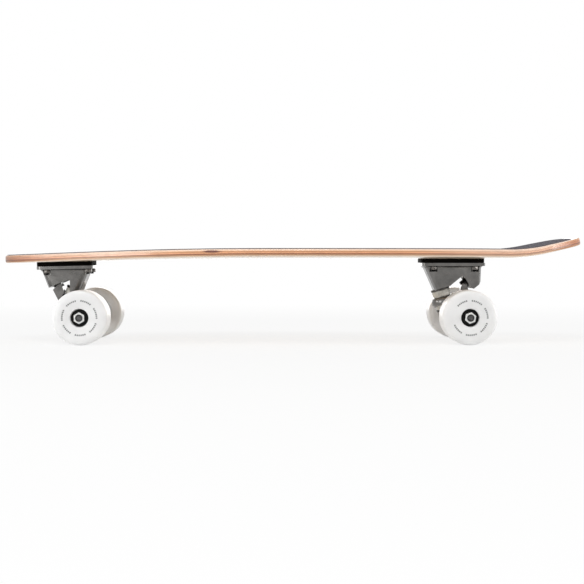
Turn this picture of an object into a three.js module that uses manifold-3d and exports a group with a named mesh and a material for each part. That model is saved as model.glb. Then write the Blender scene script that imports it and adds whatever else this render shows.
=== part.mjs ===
// Surf skateboard, in millimetres. +X points to the kicktail and +Z up. The origin is on the
// ground under the middle of the board. The rider's left side, facing the nose, is at -Y.
import * as THREE from "three";
import { mergeVertices } from "three/addons/utils/BufferGeometryUtils.js";
import Module from "manifold-3d";

const wasm = await Module();
wasm.setup();

// Deck and grip
const deckLength = 764;
const deckHalfWidth = 124;
const deckThickness = 10;
const deckEdge = 2.6; // rounding of the rail, top and bottom
const deckFlatHalf = 30; // flat strip along the middle, where the trucks bolt on
const concaveRise = 3;
const noseTipHalf = 7;
const tailTipHalf = 14;
const widestShare = -0.0785; // of the length, from the middle
const noseFullnessShare = 0.36;
const noseRunShare = 0.264;
const tailRunShare = 0.72;
const tailFullnessShare = 1;
const noseTilt = 1.26; // degrees that the deck falls towards the nose
const noseBlend = 190;
const kickLength = 107.5;
const kickBlend = 52;
const kickTilt = 13.2; // degrees
const noseOverhang = 111; // past the front axle
const tailOverhang = 156.5; // past the rear axle
const gripThickness = 0.8;
const columnShares = [-1, -0.66, -0.24, 0.24, 0.66, 1];

// Wheels on their bearings
const wheelRadius = 35;
const wheelWidth = 50;
const wheelDiscRadius = 27; // flat part of the face
const wheelLipDepth = 4.5; // how far the rounded lip runs in along the tread
const wheelMouthRadius = 11.8;
const wheelCupRadius = 22; // hollow on the inner side
const wheelCupFloorRadius = 14.5;
const wheelWebRadius = 9.4; // shoulder between the two bearings
const wheelFaceReach = 4.3; // face of the wheel past its outer bearing
const bearingRadius = 11;
const bearingWidth = 7;
const bearingBore = 4.3;
const bearingRimRadius = 9.7;
const shieldDepth = 0.5;
const spacerRadius = 6;
const spacerLength = 10;
const seatClearance = 0.25; // between a bearing and the wheel that grips it

// Axles and their nuts
const axleRadius = 4;
const axleBoreClearance = 0.2;
const axleChamfer = 0.8;
const axleNutFlat = 13; // across flats
const axleNutThickness = 6.5;
const axleCollarHeight = 1.4;
const axleCollarRadius = 5.4;
const speedWasherRadius = 5.8;
const speedWasherThickness = 0.8;
const runningGap = 0.2; // beside the bearings

// Hangers
const hangerHalfWidth = 77.5;
const barEndRadius = 7.2;
const barMiddleRadius = 9.5;
const barMiddleHalf = 20;
const webHalfWidth = 11;
const stemHalfWidth = 8;
const wingHalfSpan = 60;
const wingThickness = 7;
const wingFootHeight = 4;
const ringWingShare = 0.72; // how far up to the ring the wings climb
const ringRadius = 16;
const ringRimRadius = 14;
const ringBore = 8;
const ringLandRadius = 15; // clear room above the ring
const ringThickness = 8;
const ringSkirt = 3.8; // rim round the lower bushing
const noseRadius = 5.2; // pivot nose
const noseTip = 3.5; // past the pivot centre
const noseRoot = 8; // before the pivot centre

// Kingpins, bushings and cup washers
const kingpinRadius = 4.7;
const kingpinHeadFlat = 14.3;
const kingpinHeadHeight = 6;
const kingpinHeadSink = 3.2; // head below the top of the baseplate
const kingpinNutFlat = 14.3;
const kingpinNutThickness = 7;
const kingpinTail = 2.4; // thread past the nut
const bushingRadius = 11.4;
const bushingBulge = 0.7;
const upperBushingHeight = 10;
const lowerBushingHeight = 9;
const lowerBushingFootRadius = 10.8;
const cupWasherRadius = 12.7;
const cupWasherThickness = 1.5;
const cupWasherLip = 1.5;
const cupWasherWall = 1;
const stackGap = 0.15; // between the pieces on a kingpin
const kingpinClearance = 0.3;
const bushingRoom = 1.2; // round the bushings where they pass metal
const swingRoom = 1.7; // round the lower washer, which the hanger swings about
const nutRoom = 1.7;

// Pivot cups
const cupWall = 1.7;
const cupFloor = 1.7;
const cupMouth = 1.5; // before the pivot centre
const pivotClearance = 0.4;
const cupSeatClearance = 0.25;

// Baseplates and riser pads
const plateHalfWidth = 28;
const plateThickness = 4;
const plateCorner = 6;
const wallHalfWidth = 24;
const wallThickness = 4.5;
const wallCorner = 8;
const plateFillet = 2.4;
const kingpinBossRadius = 12.8;
const pivotBossRadius = 11.5;
const pivotBossMouth = -0.9; // along the steering axis from the pivot centre
const riserThickness = 5.5;
const seatGap = 0.1; // between plates that are clamped together

// Truck bolts, in the usual four-hole pattern
const boltSpacingX = 54;
const boltSpacingY = 41.3;
const boltRadius = 2.4;
const boltHoleRadius = 2.75;
const boltHeadRadius = 4.6;
const boltHeadDepth = 2.7;
const boltHeadRoom = 0.25;
const boltTip = 2; // thread past the nut
const truckNutFlat = 9;
const truckNutThickness = 5;
const nutPocketRadius = 6;
const nutPocketDepth = 7.7;
const nutPocketWall = 2.6;

// Front truck, measured from its axle: outward is towards the nose
const frontPlateHeight = 65.9;
const frontPlateInner = 8.4;
const frontPlateLength = 74.7;
const frontRiserInsets = [1, 0.4]; // inner and outer end of the pad, inside the plate's
const frontHousingDepth = 34.4;
const frontBoltInset = 13.9; // outer end of the plate to the outer bolts
const frontEndShares = { innerTop: 0.071, innerLow: 0.272, outerTop: 0.926, outerLow: 0.759 };
const frontEdgeShares = [
  [-0.05, 1],
  [0.419, 1],
  [0.415, 0.477],
  [0.42, 0.42],
  [0.435, 0.4],
  [0.739, 0.648],
  [0.807, 0.712],
  [1.05, 0.94],
];
const frontSeatShares = [
  [0.246, 0.829],
  [0.416, 0.674],
];
const frontKingpinShare = 0.575;
const frontPivotShares = [0.679, 0.551];
const frontSteerLimit = 25; // degrees each way
const frontNutTurn = 0;

// Rear truck, measured from its axle: outward is towards the kicktail
const rearPlateHeight = 69.3;
const rearPlateInner = 53.3;
const rearPlateLength = 83.7;
const rearRiserInsets = [-1.5, 1.2];
const rearHousingDepth = 33.3;
const rearBoltInset = 14.1;
const rearEndShares = { innerTop: 0.04, innerLow: 0.217, outerTop: 0.948, outerLow: 0.93 };
const rearEdgeShares = [
  [-0.05, 1],
  [0.213, 1],
  [0.242, 0.94],
  [0.445, 0.79],
  [0.623, 0.425],
  [0.647, 0.41],
  [0.669, 0.435],
  [0.78, 0.868],
  [0.819, 0.91],
  [0.909, 0.739],
  [0.937, 0.622],
  [1.05, 0.43],
];
const rearSeatShares = [
  [0.242, 0.94],
  [0.445, 0.79],
];
const rearKingpinShare = 0.33;
const rearPivotShares = [0.733, 0.64];
const rearSteerLimit = 15;
const rearNutTurn = -9; // degrees

// Stems of the hangers, as distances out and up from the axle. The front one is a broad arm with
// its top square to the steering axis, the rear one a link with a foot and a head.
const frontStemOutline = [
  [30, 15],
  [41, 20.2],
  [47.85, 34.5],
  [36.5, 45],
  [35, 38],
  [32.5, 31],
  [29, 24],
];
const rearStemRadius = 5;
const rearStemFoot = [4.6, 2];
const rearStemHead = [4.6, 36];

// Facets
const corners = 3;
const noseStations = 15;
const tailStations = 17;
const wheelSides = 24; // a flat faces down
const bearingSides = 14;
const barSides = 16;
const ringSides = 20;
const smallSides = 10;
const pinSides = 14;
const boltSides = 8;
const lipSteps = 3;
const cornerSteps = 2;
const linkSteps = 4;
const overrun = 5; // cutters past what they cut
const mergeReach = 0.001;

const degree = Math.PI / 180;
const noseGrade = Math.tan(noseTilt * degree);
const kickGrade = Math.tan(kickTilt * degree);
const up = new THREE.Vector3(0, 0, 1);
const across = new THREE.Vector3(0, 1, 0);

const finishes = {
  maple: { color: 0xe3b184, roughness: 0.55, metalness: 0 },
  grip: { color: 0x4c4c54, roughness: 0.95, metalness: 0 },
  rubber: { color: 0x141414, roughness: 0.7, metalness: 0 },
  cast: { color: 0x85827e, roughness: 0.42, metalness: 0.9 },
  zinc: { color: 0xc6c8ca, roughness: 0.3, metalness: 1 },
  steel: { color: 0x8d8f92, roughness: 0.35, metalness: 1 },
  bushing: { color: 0xb8b4ac, roughness: 0.5, metalness: 0 },
  urethane: { color: 0xf0efec, roughness: 0.4, metalness: 0 },
  shield: { color: 0x101010, roughness: 0.45, metalness: 0.1 },
  black: { color: 0x1a1a1c, roughness: 0.4, metalness: 0.6 },
};

// Solids

function solidOf(geometry) {
  const bare = geometry.index ? geometry.toNonIndexed() : geometry.clone();
  bare.deleteAttribute("normal");
  bare.deleteAttribute("uv");
  const merged = mergeVertices(bare, mergeReach);
  const index = merged.index.array;
  const kept = [];
  for (let i = 0; i < index.length; i += corners) {
    const [a, b, c] = index.slice(i, i + corners);
    if (a !== b && b !== c && c !== a) kept.push(a, b, c);
  }
  const vertProperties = merged.attributes.position.array;
  const triVerts = new Uint32Array(kept);
  return new wasm.Manifold(new wasm.Mesh({ numProp: corners, vertProperties, triVerts }));
}

function geometryOf(solid) {
  const mesh = solid.getMesh();
  const geometry = new THREE.BufferGeometry();
  geometry.setAttribute("position", new THREE.BufferAttribute(mesh.vertProperties, corners));
  geometry.setIndex(new THREE.BufferAttribute(mesh.triVerts, 1));
  const faceted = geometry.toNonIndexed();
  faceted.computeVertexNormals();
  return faceted;
}

function union(first, ...others) {
  return others.reduce((sum, other) => sum.add(other), first);
}

function cut(first, ...others) {
  return others.reduce((rest, other) => rest.subtract(other), first);
}

// A round piece from a profile of [radius, distance along the axis]. The profile starts and ends
// on the axis, or is closed here.
function turned(profile, sides, start, direction, turn = 0) {
  const points = profile.map(([radius, along]) => new THREE.Vector2(radius, along));
  if (THREE.ShapeUtils.isClockWise(points)) points.reverse();
  if (points[0].x > 0) points.push(points[0].clone());
  const geometry = new THREE.LatheGeometry(points, sides).rotateY(turn);
  const aim = new THREE.Quaternion().setFromUnitVectors(across, direction);
  geometry.applyQuaternion(aim);
  geometry.translate(start.x, start.y, start.z);
  return solidOf(geometry);
}

function rod(radius, from, to, sides, start, direction, turn = 0) {
  const profile = [[0, from], [radius, from], [radius, to], [0, to]];
  return turned(profile, sides, start, direction, turn);
}

// An outline in the side view, extruded evenly to both sides of the middle plane.
function sidePlate(outline, halfWidth) {
  const shape = new THREE.Shape(outline.map(([out, height]) => new THREE.Vector2(out, height)));
  const geometry = new THREE.ExtrudeGeometry(shape, { depth: 2 * halfWidth, bevelEnabled: false });
  geometry.rotateX(Math.PI / 2);
  geometry.translate(0, halfWidth, 0);
  return solidOf(geometry);
}

// A bar's outline round two circles and the tangents between them.
function linkOutline(a, radiusA, b, radiusB) {
  const run = Math.hypot(b[0] - a[0], b[1] - a[1]);
  const heading = Math.atan2(b[1] - a[1], b[0] - a[0]);
  const spread = Math.acos((radiusA - radiusB) / run);
  const outline = [];
  const arc = (centre, radius, from, to) => {
    for (let i = 0; i <= linkSteps; i++) {
      const angle = from + ((to - from) * i) / linkSteps;
      outline.push([centre[0] + radius * Math.cos(angle), centre[1] + radius * Math.sin(angle)]);
    }
  };
  arc(b, radiusB, heading - spread, heading + spread);
  arc(a, radiusA, heading + spread, heading + 2 * Math.PI - spread);
  return outline;
}

// Rounded rectangle in plan, anticlockwise from its inner end.
function roundedPlan(inner, outer, halfWidth, corner) {
  const outline = [];
  const centres = [
    [outer - corner, halfWidth - corner],
    [inner + corner, halfWidth - corner],
    [inner + corner, corner - halfWidth],
    [outer - corner, corner - halfWidth],
  ];
  centres.forEach(([x, y], quarter) => {
    for (let i = 0; i <= cornerSteps; i++) {
      const angle = ((quarter + i / cornerSteps) * Math.PI) / 2;
      outline.push([x + corner * Math.cos(angle), y + corner * Math.sin(angle)]);
    }
  });
  return outline;
}

// Faces between outlines of the same number of points, lowest first, closed by flat ends.
function loft(layers) {
  const count = layers[0].outline.length;
  const points = layers.map(({ outline, height }) =>
    outline.map(([x, y]) => new THREE.Vector3(x, y, height)),
  );
  const faces = [];
  for (let level = 0; level + 1 < points.length; level++) {
    for (let i = 0; i < count; i++) {
      const next = (i + 1) % count;
      const [low, high] = [points[level], points[level + 1]];
      faces.push([low[i], low[next], high[next]], [low[i], high[next], high[i]]);
    }
  }
  const [bottom, top] = [points[0], points[points.length - 1]];
  for (let i = 1; i + 1 < count; i++) {
    faces.push([bottom[0], bottom[i + 1], bottom[i]], [top[0], top[i], top[i + 1]]);
  }
  return solidOf(new THREE.BufferGeometry().setFromPoints(faces.flat()));
}

function planPlate(inner, outer, halfWidth, corner, low, high) {
  const outline = roundedPlan(inner, outer, halfWidth, corner);
  return loft([
    { outline, height: low },
    { outline, height: high },
  ]);
}

function hexPrism(flat, from, to, start, direction, turn = 0) {
  const radius = flat / 2 / Math.cos(Math.PI / 6);
  return rod(radius, from, to, 6, start, direction, turn);
}

function piece(name, solid, finish) {
  const mesh = new THREE.Mesh(geometryOf(solid), new THREE.MeshStandardMaterial(finishes[finish]));
  mesh.name = name;
  return mesh;
}

// Places on a kingpin, measured down from its seat on the baseplate

const upperWasherTop = stackGap;
const upperBushingTop = upperWasherTop + cupWasherThickness + stackGap;
const ringTop = upperBushingTop + upperBushingHeight + stackGap;
const ringMiddle = ringTop + ringThickness / 2;
const ringFloor = ringTop + ringThickness;
const ringEnd = ringFloor + ringSkirt;
const lowerBushingTop = ringFloor + stackGap;
const lowerWasherTop = lowerBushingTop + lowerBushingHeight + stackGap;
const lowerWasherEnd = lowerWasherTop + cupWasherThickness;
const kingpinNutTop = lowerWasherEnd + stackGap;
const kingpinNutEnd = kingpinNutTop + kingpinNutThickness;
const kingpinEnd = kingpinNutEnd + kingpinTail;

// Places along an axle, measured out from the middle of the board

const innerBearingAt = hangerHalfWidth + speedWasherThickness + runningGap;
const bearingPitch = bearingWidth + spacerLength + 2 * runningGap;
const outerBearingAt = innerBearingAt + bearingPitch;
const axleNutAt = outerBearingAt + bearingWidth + runningGap;
const axleEnd = axleNutAt + speedWasherThickness + axleNutThickness;
const wheelFaceAt = outerBearingAt + bearingWidth + wheelFaceReach;
const wheelInnerAt = wheelFaceAt - wheelWidth;

// One truck's places, in its own plane: [out, up] from the axle

function truckLayout(end, sizes) {
  const underside = sizes.plateHeight - plateThickness;
  const place = ([lengthShare, depthShare]) => [
    lengthShare * sizes.plateLength - sizes.plateInner,
    underside - depthShare * sizes.housingDepth,
  ];
  const [seatInner, seatOuter] = sizes.seatShares.map(place);
  const run = Math.hypot(seatOuter[0] - seatInner[0], seatOuter[1] - seatInner[1]);
  const along = [(seatOuter[0] - seatInner[0]) / run, (seatOuter[1] - seatInner[1]) / run];
  const seat = [0, 1].map((i) => seatInner[i] + sizes.kingpinShare * run * along[i]);
  const down = new THREE.Vector3(along[1], 0, -along[0]);
  const seatPoint = new THREE.Vector3(seat[0], 0, seat[1]);
  const ring = seatPoint.clone().addScaledVector(down, ringMiddle);
  const [pivotOut, pivotUp] = place(sizes.pivotShares);
  const pivot = new THREE.Vector3(pivotOut, 0, pivotUp);
  const steering = pivot.clone().sub(ring).normalize();
  const plateOuter = sizes.plateLength - sizes.plateInner;
  const boltOuter = plateOuter - sizes.boltInset;
  const bolts = [boltOuter, boltOuter - boltSpacingX].flatMap((out) =>
    [-1, 1].map((side) => [out, (side * boltSpacingY) / 2]),
  );
  return { end, ...sizes, underside, place, seatPoint, down, ring, pivot, steering, plateOuter, bolts };
}

const front = truckLayout("front", {
  axleX: noseOverhang - deckLength / 2,
  tilt: noseTilt * degree,
  heading: Math.PI,
  plateHeight: frontPlateHeight,
  plateInner: frontPlateInner,
  plateLength: frontPlateLength,
  housingDepth: frontHousingDepth,
  boltInset: frontBoltInset,
  ends: frontEndShares,
  edgeShares: frontEdgeShares,
  seatShares: frontSeatShares,
  kingpinShare: frontKingpinShare,
  pivotShares: frontPivotShares,
  riserInsets: frontRiserInsets,
  stemOutline: frontStemOutline,
  steerLimit: frontSteerLimit,
  nutTurn: frontNutTurn * degree,
});

const rear = truckLayout("rear", {
  axleX: deckLength / 2 - tailOverhang,
  tilt: 0,
  heading: 0,
  plateHeight: rearPlateHeight,
  plateInner: rearPlateInner,
  plateLength: rearPlateLength,
  housingDepth: rearHousingDepth,
  boltInset: rearBoltInset,
  ends: rearEndShares,
  edgeShares: rearEdgeShares,
  seatShares: rearSeatShares,
  kingpinShare: rearKingpinShare,
  pivotShares: rearPivotShares,
  riserInsets: rearRiserInsets,
  stemOutline: linkOutline(rearStemFoot, rearStemRadius, rearStemHead, rearStemRadius),
  steerLimit: rearSteerLimit,
  nutTurn: rearNutTurn * degree,
});

function truckGroup(truck) {
  const group = new THREE.Group();
  group.position.set(truck.axleX, 0, wheelRadius);
  group.rotation.set(0, truck.tilt, truck.heading, "ZYX");
  group.updateMatrixWorld(true);
  return group;
}

// Heights of the deck's underside, set by the trucks under it

const mountHeight = (truck) => truck.plateHeight + riserThickness + 2 * seatGap;
const deckBottom = wheelRadius + mountHeight(rear);
const noseDropAtAxle = deckBottom - wheelRadius - mountHeight(front) / Math.cos(front.tilt);
const noseBendX = front.axleX + noseDropAtAxle / noseGrade + noseBlend / 2;
const kickStart = deckLength / 2 - kickLength;
const widestX = widestShare * deckLength;

// Rise and slope of a straight line that starts in a smooth bend
function bend(distance, blend, grade) {
  if (distance <= 0) return [0, 0];
  if (distance < blend) return [(grade * distance ** 2) / (2 * blend), (grade * distance) / blend];
  return [grade * (distance - blend / 2), grade];
}

// A point of the deck at a height above its underside
function deckPoint(x, y, height) {
  const [kickRise, kickSlope] = bend(x - kickStart, kickBlend, kickGrade);
  const [noseDrop, noseSlope] = bend(noseBendX - x, noseBlend, noseGrade);
  const slope = Math.atan(kickSlope + noseSlope);
  const side = Math.max(Math.abs(y) - deckFlatHalf, 0) / (deckHalfWidth - deckFlatHalf);
  const low = deckBottom + kickRise - noseDrop + concaveRise * side ** 2;
  return new THREE.Vector3(x - height * Math.sin(slope), y, low + height * Math.cos(slope));
}

// Points of one half of the plan outline, from the nose to the tail, closer where it bends most
function railStations() {
  const half = deckLength / 2;
  const noseRun = -half + noseRunShare * (widestX + half);
  const tailRun = widestX + tailRunShare * (half - widestX);
  const nose = new THREE.CubicBezierCurve(
    new THREE.Vector2(-half, noseTipHalf),
    new THREE.Vector2(-half, noseFullnessShare * deckHalfWidth),
    new THREE.Vector2(noseRun, deckHalfWidth),
    new THREE.Vector2(widestX, deckHalfWidth),
  );
  const tail = new THREE.CubicBezierCurve(
    new THREE.Vector2(widestX, deckHalfWidth),
    new THREE.Vector2(tailRun, deckHalfWidth),
    new THREE.Vector2(half, tailFullnessShare * deckHalfWidth),
    new THREE.Vector2(half, tailTipHalf),
  );
  const sample = (curve, steps, first) =>
    Array.from({ length: steps + 1 - first }, (_, i) => {
      const share = (i + first) / steps;
      const tangent = curve.getTangent(share);
      return { point: curve.getPoint(share), inward: new THREE.Vector2(tangent.y, -tangent.x) };
    });
  return [...sample(nose, noseStations, 0), ...sample(tail, tailStations, 1)];
}

// One layer of the board between two heights, its rail bevelled by edge and set in by inset
function boardLayer(low, high, edge, inset) {
  const stations = railStations().map(({ point, inward }) => {
    const rail = point.clone().addScaledVector(inward, inset);
    return { rail, face: rail.clone().addScaledVector(inward, edge) };
  });
  const ring = (faceAt, rail, bottom, top) => [
    ...columnShares.map((v) => deckPoint(faceAt.x, v * faceAt.y, bottom)),
    deckPoint(rail.x, rail.y, low + edge),
    deckPoint(rail.x, rail.y, high - edge),
    ...columnShares.map((v) => deckPoint(faceAt.x, -v * faceAt.y, top)),
    deckPoint(rail.x, -rail.y, high - edge),
    deckPoint(rail.x, -rail.y, low + edge),
  ];
  const rings = stations.map(({ rail, face }) => ring(face, rail, low, high));
  const [nose, tail] = [stations[0], stations[stations.length - 1]];
  rings.unshift(ring(nose.rail, nose.rail, low + edge, high - edge));
  rings.push(ring(tail.rail, tail.rail, low + edge, high - edge));
  return solidOf(new THREE.BufferGeometry().setFromPoints(ringFaces(rings)));
}

function ringFaces(rings) {
  const count = rings[0].length;
  const columns = columnShares.length;
  const faces = [];
  for (let k = 0; k + 1 < rings.length; k++) {
    for (let i = 0; i < count; i++) {
      const next = (i + 1) % count;
      const [a, b] = [rings[k], rings[k + 1]];
      faces.push(a[i], b[next], b[i], a[i], a[next], b[next]);
    }
  }
  const cap = (ring, flip) => {
    for (let j = 0; j + 1 < columns; j++) {
      const above = 2 * columns + 1 - j;
      const quad = [ring[j], ring[j + 1], ring[above - 1], ring[above]];
      if (flip) quad.reverse();
      faces.push(quad[0], quad[1], quad[2], quad[0], quad[2], quad[3]);
    }
  };
  cap(rings[0], true);
  cap(rings[rings.length - 1], false);
  return faces;
}

// Bolt holes of both trucks through the board, as cutters in the board's frame
function boardCutters(groups) {
  const cutters = [];
  for (const { truck, group } of groups) {
    const top = mountHeight(truck) + deckThickness + gripThickness + seatGap;
    const wide = boltHeadRadius + boltHeadRoom;
    const flare = boltHeadDepth + boltHeadRoom;
    const profile = [
      [0, truck.plateHeight],
      [boltHoleRadius, truck.plateHeight],
      [boltHoleRadius, top - flare],
      [wide, top],
      [wide, top + overrun],
      [0, top + overrun],
    ];
    for (const [out, y] of truck.bolts) {
      const cutter = turned(profile, boltSides, new THREE.Vector3(out, y, 0), up);
      const geometry = geometryOf(cutter).applyMatrix4(group.matrixWorld);
      cutters.push(solidOf(geometry));
    }
  }
  return cutters;
}

// Riser pads, baseplates and what is clamped in them

function riserPad(truck) {
  const low = truck.plateHeight + seatGap;
  const inner = -truck.plateInner + truck.riserInsets[0];
  const outer = truck.plateOuter - truck.riserInsets[1];
  const pad = planPlate(inner, outer, plateHalfWidth, plateCorner, low, low + riserThickness);
  return cut(pad, ...boltHoles(truck, low - overrun, low + riserThickness + overrun));
}

function boltHoles(truck, low, high) {
  return truck.bolts.map(([out, y]) =>
    rod(boltHoleRadius, low, high, boltSides, new THREE.Vector3(out, y, 0), up),
  );
}

// The tapering box of the housing, shrunk by a wall thickness for its hollow
function housingBox(truck, wall) {
  const { ends, underside, housingDepth, plateLength, plateInner } = truck;
  const at = (share) => share * plateLength - plateInner;
  const corner = Math.max(wallCorner - wall, wall / 2);
  const layer = (inner, outer, height) => ({
    outline: roundedPlan(at(inner) + wall, at(outer) - wall, wallHalfWidth - wall, corner),
    height,
  });
  return loft([
    layer(ends.innerLow, ends.outerLow, underside - housingDepth),
    layer(ends.innerTop, ends.outerTop, underside),
  ]);
}

// What lies above the housing's lower edge in the side view
function edgeProfile(truck) {
  const outline = truck.edgeShares.map(truck.place);
  const [first, last] = [outline[0], outline[outline.length - 1]];
  const top = truck.plateHeight + overrun;
  return sidePlate([...outline, [last[0], top], [first[0], top]], plateHalfWidth);
}

function plateWithFillet(truck) {
  const { ends, underside, plateHeight, plateLength, plateInner, plateOuter } = truck;
  const at = (share) => share * plateLength - plateInner;
  const plate = planPlate(-plateInner, plateOuter, plateHalfWidth, plateCorner, underside, plateHeight);
  const layer = (grow, height) => ({
    outline: roundedPlan(
      Math.max(at(ends.innerTop) - grow, -plateInner),
      Math.min(at(ends.outerTop) + grow, plateOuter),
      wallHalfWidth + grow,
      wallCorner,
    ),
    height,
  });
  const fillet = loft([
    layer(0, underside - plateFillet),
    layer(plateFillet / 4, underside - plateFillet / 2),
    layer(plateFillet, underside),
  ]);
  return { plate, fillet };
}

function baseplate(truck) {
  const { underside, plateHeight, seatPoint, down, pivot, steering, bolts } = truck;
  const envelope = housingBox(truck, 0).intersect(edgeProfile(truck));
  const { plate, fillet } = plateWithFillet(truck);
  const boss = rod(kingpinBossRadius, -truck.housingDepth, 0, ringSides, seatPoint, down);
  const block = rod(pivotBossRadius, pivotBossMouth, truck.housingDepth, ringSides, pivot, steering);
  const linings = bolts.map(([out, y]) =>
    rod(
      nutPocketRadius + nutPocketWall,
      underside - nutPocketDepth - nutPocketWall,
      underside,
      smallSides,
      new THREE.Vector3(out, y, 0),
      up,
    ),
  );
  const inside = union(boss, block, ...linings).intersect(envelope);
  const shell = union(cut(envelope, housingBox(truck, wallThickness)), inside, plate, fillet);
  const pockets = bolts.map(([out, y]) =>
    rod(
      nutPocketRadius,
      underside - nutPocketDepth,
      underside,
      smallSides,
      new THREE.Vector3(out, y, 0),
      up,
    ),
  );
  const cupRadius = noseRadius + pivotClearance + cupWall + cupSeatClearance;
  const cupEnd = noseTip + pivotClearance + cupFloor + cupSeatClearance;
  const headTop = (plateHeight - seatPoint.z - kingpinHeadSink) / down.z;
  return cut(
    shell,
    ...pockets,
    ...boltHoles(truck, underside - overrun, plateHeight + overrun),
    rod(kingpinRadius + kingpinClearance, -truck.housingDepth - overrun, overrun, pinSides, seatPoint, down),
    kingpinHeadPocket(seatPoint, down, headTop),
    rod(cupWasherRadius + bushingRoom, 0, truck.housingDepth, ringSides, seatPoint, down),
    rod(cupRadius, -noseRoot - overrun, cupEnd, pinSides, pivot, steering),
  );
}

function kingpinHeadPocket(seatPoint, down, headTop) {
  const floor = headTop + kingpinHeadHeight;
  const radius = kingpinHeadFlat / 2 / Math.cos(Math.PI / 6) + kingpinClearance;
  return rod(radius, headTop - 2 * overrun, floor + stackGap, ringSides, seatPoint, down);
}

function kingpin(truck) {
  const { seatPoint, down, plateHeight } = truck;
  const headTop = (plateHeight - seatPoint.z - kingpinHeadSink) / down.z;
  const headEnd = headTop + kingpinHeadHeight;
  return union(
    hexPrism(kingpinHeadFlat, headTop, headEnd, seatPoint, down),
    rod(kingpinRadius, headTop, kingpinEnd, smallSides, seatPoint, down),
  );
}

function kingpinNut(truck) {
  const { seatPoint, down } = truck;
  const bore = kingpinRadius + kingpinClearance;
  return cut(
    hexPrism(kingpinNutFlat, kingpinNutTop, kingpinNutEnd, seatPoint, down),
    rod(bore, kingpinNutTop - overrun, kingpinNutEnd + overrun, smallSides, seatPoint, down),
  );
}

// A dished washer whose lip holds the bushing. The lip points the way of side: 1 is down.
function cupWasher(truck, at, side) {
  const bore = kingpinRadius + kingpinClearance;
  const inner = cupWasherRadius - cupWasherWall;
  const back = side > 0 ? at : at + cupWasherThickness;
  const face = back + side * cupWasherThickness;
  const lip = face + side * cupWasherLip;
  const profile = [[bore, back], [cupWasherRadius, back], [cupWasherRadius, lip], [inner, lip], [inner, face], [bore, face]];
  return turned(profile, pinSides, truck.seatPoint, truck.down);
}

function upperBushing(truck) {
  const bore = kingpinRadius + kingpinClearance;
  const [top, end] = [upperBushingTop, upperBushingTop + upperBushingHeight];
  const bulge = bushingRadius + bushingBulge;
  const profile = [[bore, top], [bushingRadius, top], [bulge, (top + end) / 2], [bushingRadius, end], [bore, end]];
  return turned(profile, pinSides, truck.seatPoint, truck.down);
}

function lowerBushing(truck) {
  const bore = kingpinRadius + kingpinClearance;
  const [top, end] = [lowerBushingTop, lowerBushingTop + lowerBushingHeight];
  const profile = [[bore, top], [bushingRadius, top], [lowerBushingFootRadius, end], [bore, end]];
  return turned(profile, pinSides, truck.seatPoint, truck.down);
}

function pivotCup(truck) {
  const bore = noseRadius + pivotClearance;
  const outer = bore + cupWall;
  const floor = noseTip + pivotClearance;
  const profile = [[0, floor], [bore, floor], [bore, -cupMouth], [outer, -cupMouth], [outer, floor + cupFloor], [0, floor + cupFloor]];
  return turned(profile, pinSides, truck.pivot, truck.steering);
}

// Hangers

function axleBar() {
  const end = hangerHalfWidth;
  const washerEnd = end + speedWasherThickness;
  const half = [
    [barMiddleRadius, barMiddleHalf],
    [barEndRadius, end],
    [speedWasherRadius, end],
    [speedWasherRadius, washerEnd],
    [0, washerEnd],
  ];
  const mirrored = half.map(([radius, along]) => [radius, -along]).reverse();
  return turned([...mirrored, ...half], barSides, new THREE.Vector3(), across);
}

// Flat wings that run from the axle bar up to the sides of the ring
function wings(truck) {
  const reach = truck.ring.length() * ringWingShare;
  const outline = [
    [-wingHalfSpan, -wingFootHeight],
    [wingHalfSpan, -wingFootHeight],
    [wingHalfSpan, wingFootHeight],
    [ringRadius, reach],
    [-ringRadius, reach],
    [-wingHalfSpan, wingFootHeight],
  ].map(([y, t]) => new THREE.Vector2(y, t));
  const depth = wingThickness;
  const geometry = new THREE.ExtrudeGeometry(new THREE.Shape(outline), { depth, bevelEnabled: false });
  geometry.translate(0, 0, -depth / 2);
  const climb = truck.ring.clone().normalize();
  const face = new THREE.Vector3().crossVectors(across, climb);
  geometry.applyMatrix4(new THREE.Matrix4().makeBasis(across, climb, face));
  return solidOf(geometry);
}

// A cutter at rest and at both ends of the steering, about the line from the ring to the pivot
function swung(cutter, truck) {
  const turns = [-1, 0, 1].map((share) => {
    const angle = share * truck.steerLimit * degree;
    const turn = new THREE.Matrix4().makeRotationAxis(truck.steering, angle);
    const there = new THREE.Matrix4().makeTranslation(truck.ring);
    const back = new THREE.Matrix4().makeTranslation(truck.ring.clone().negate());
    return cutter.transform(there.multiply(turn).multiply(back).toArray());
  });
  return union(...turns);
}

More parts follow.
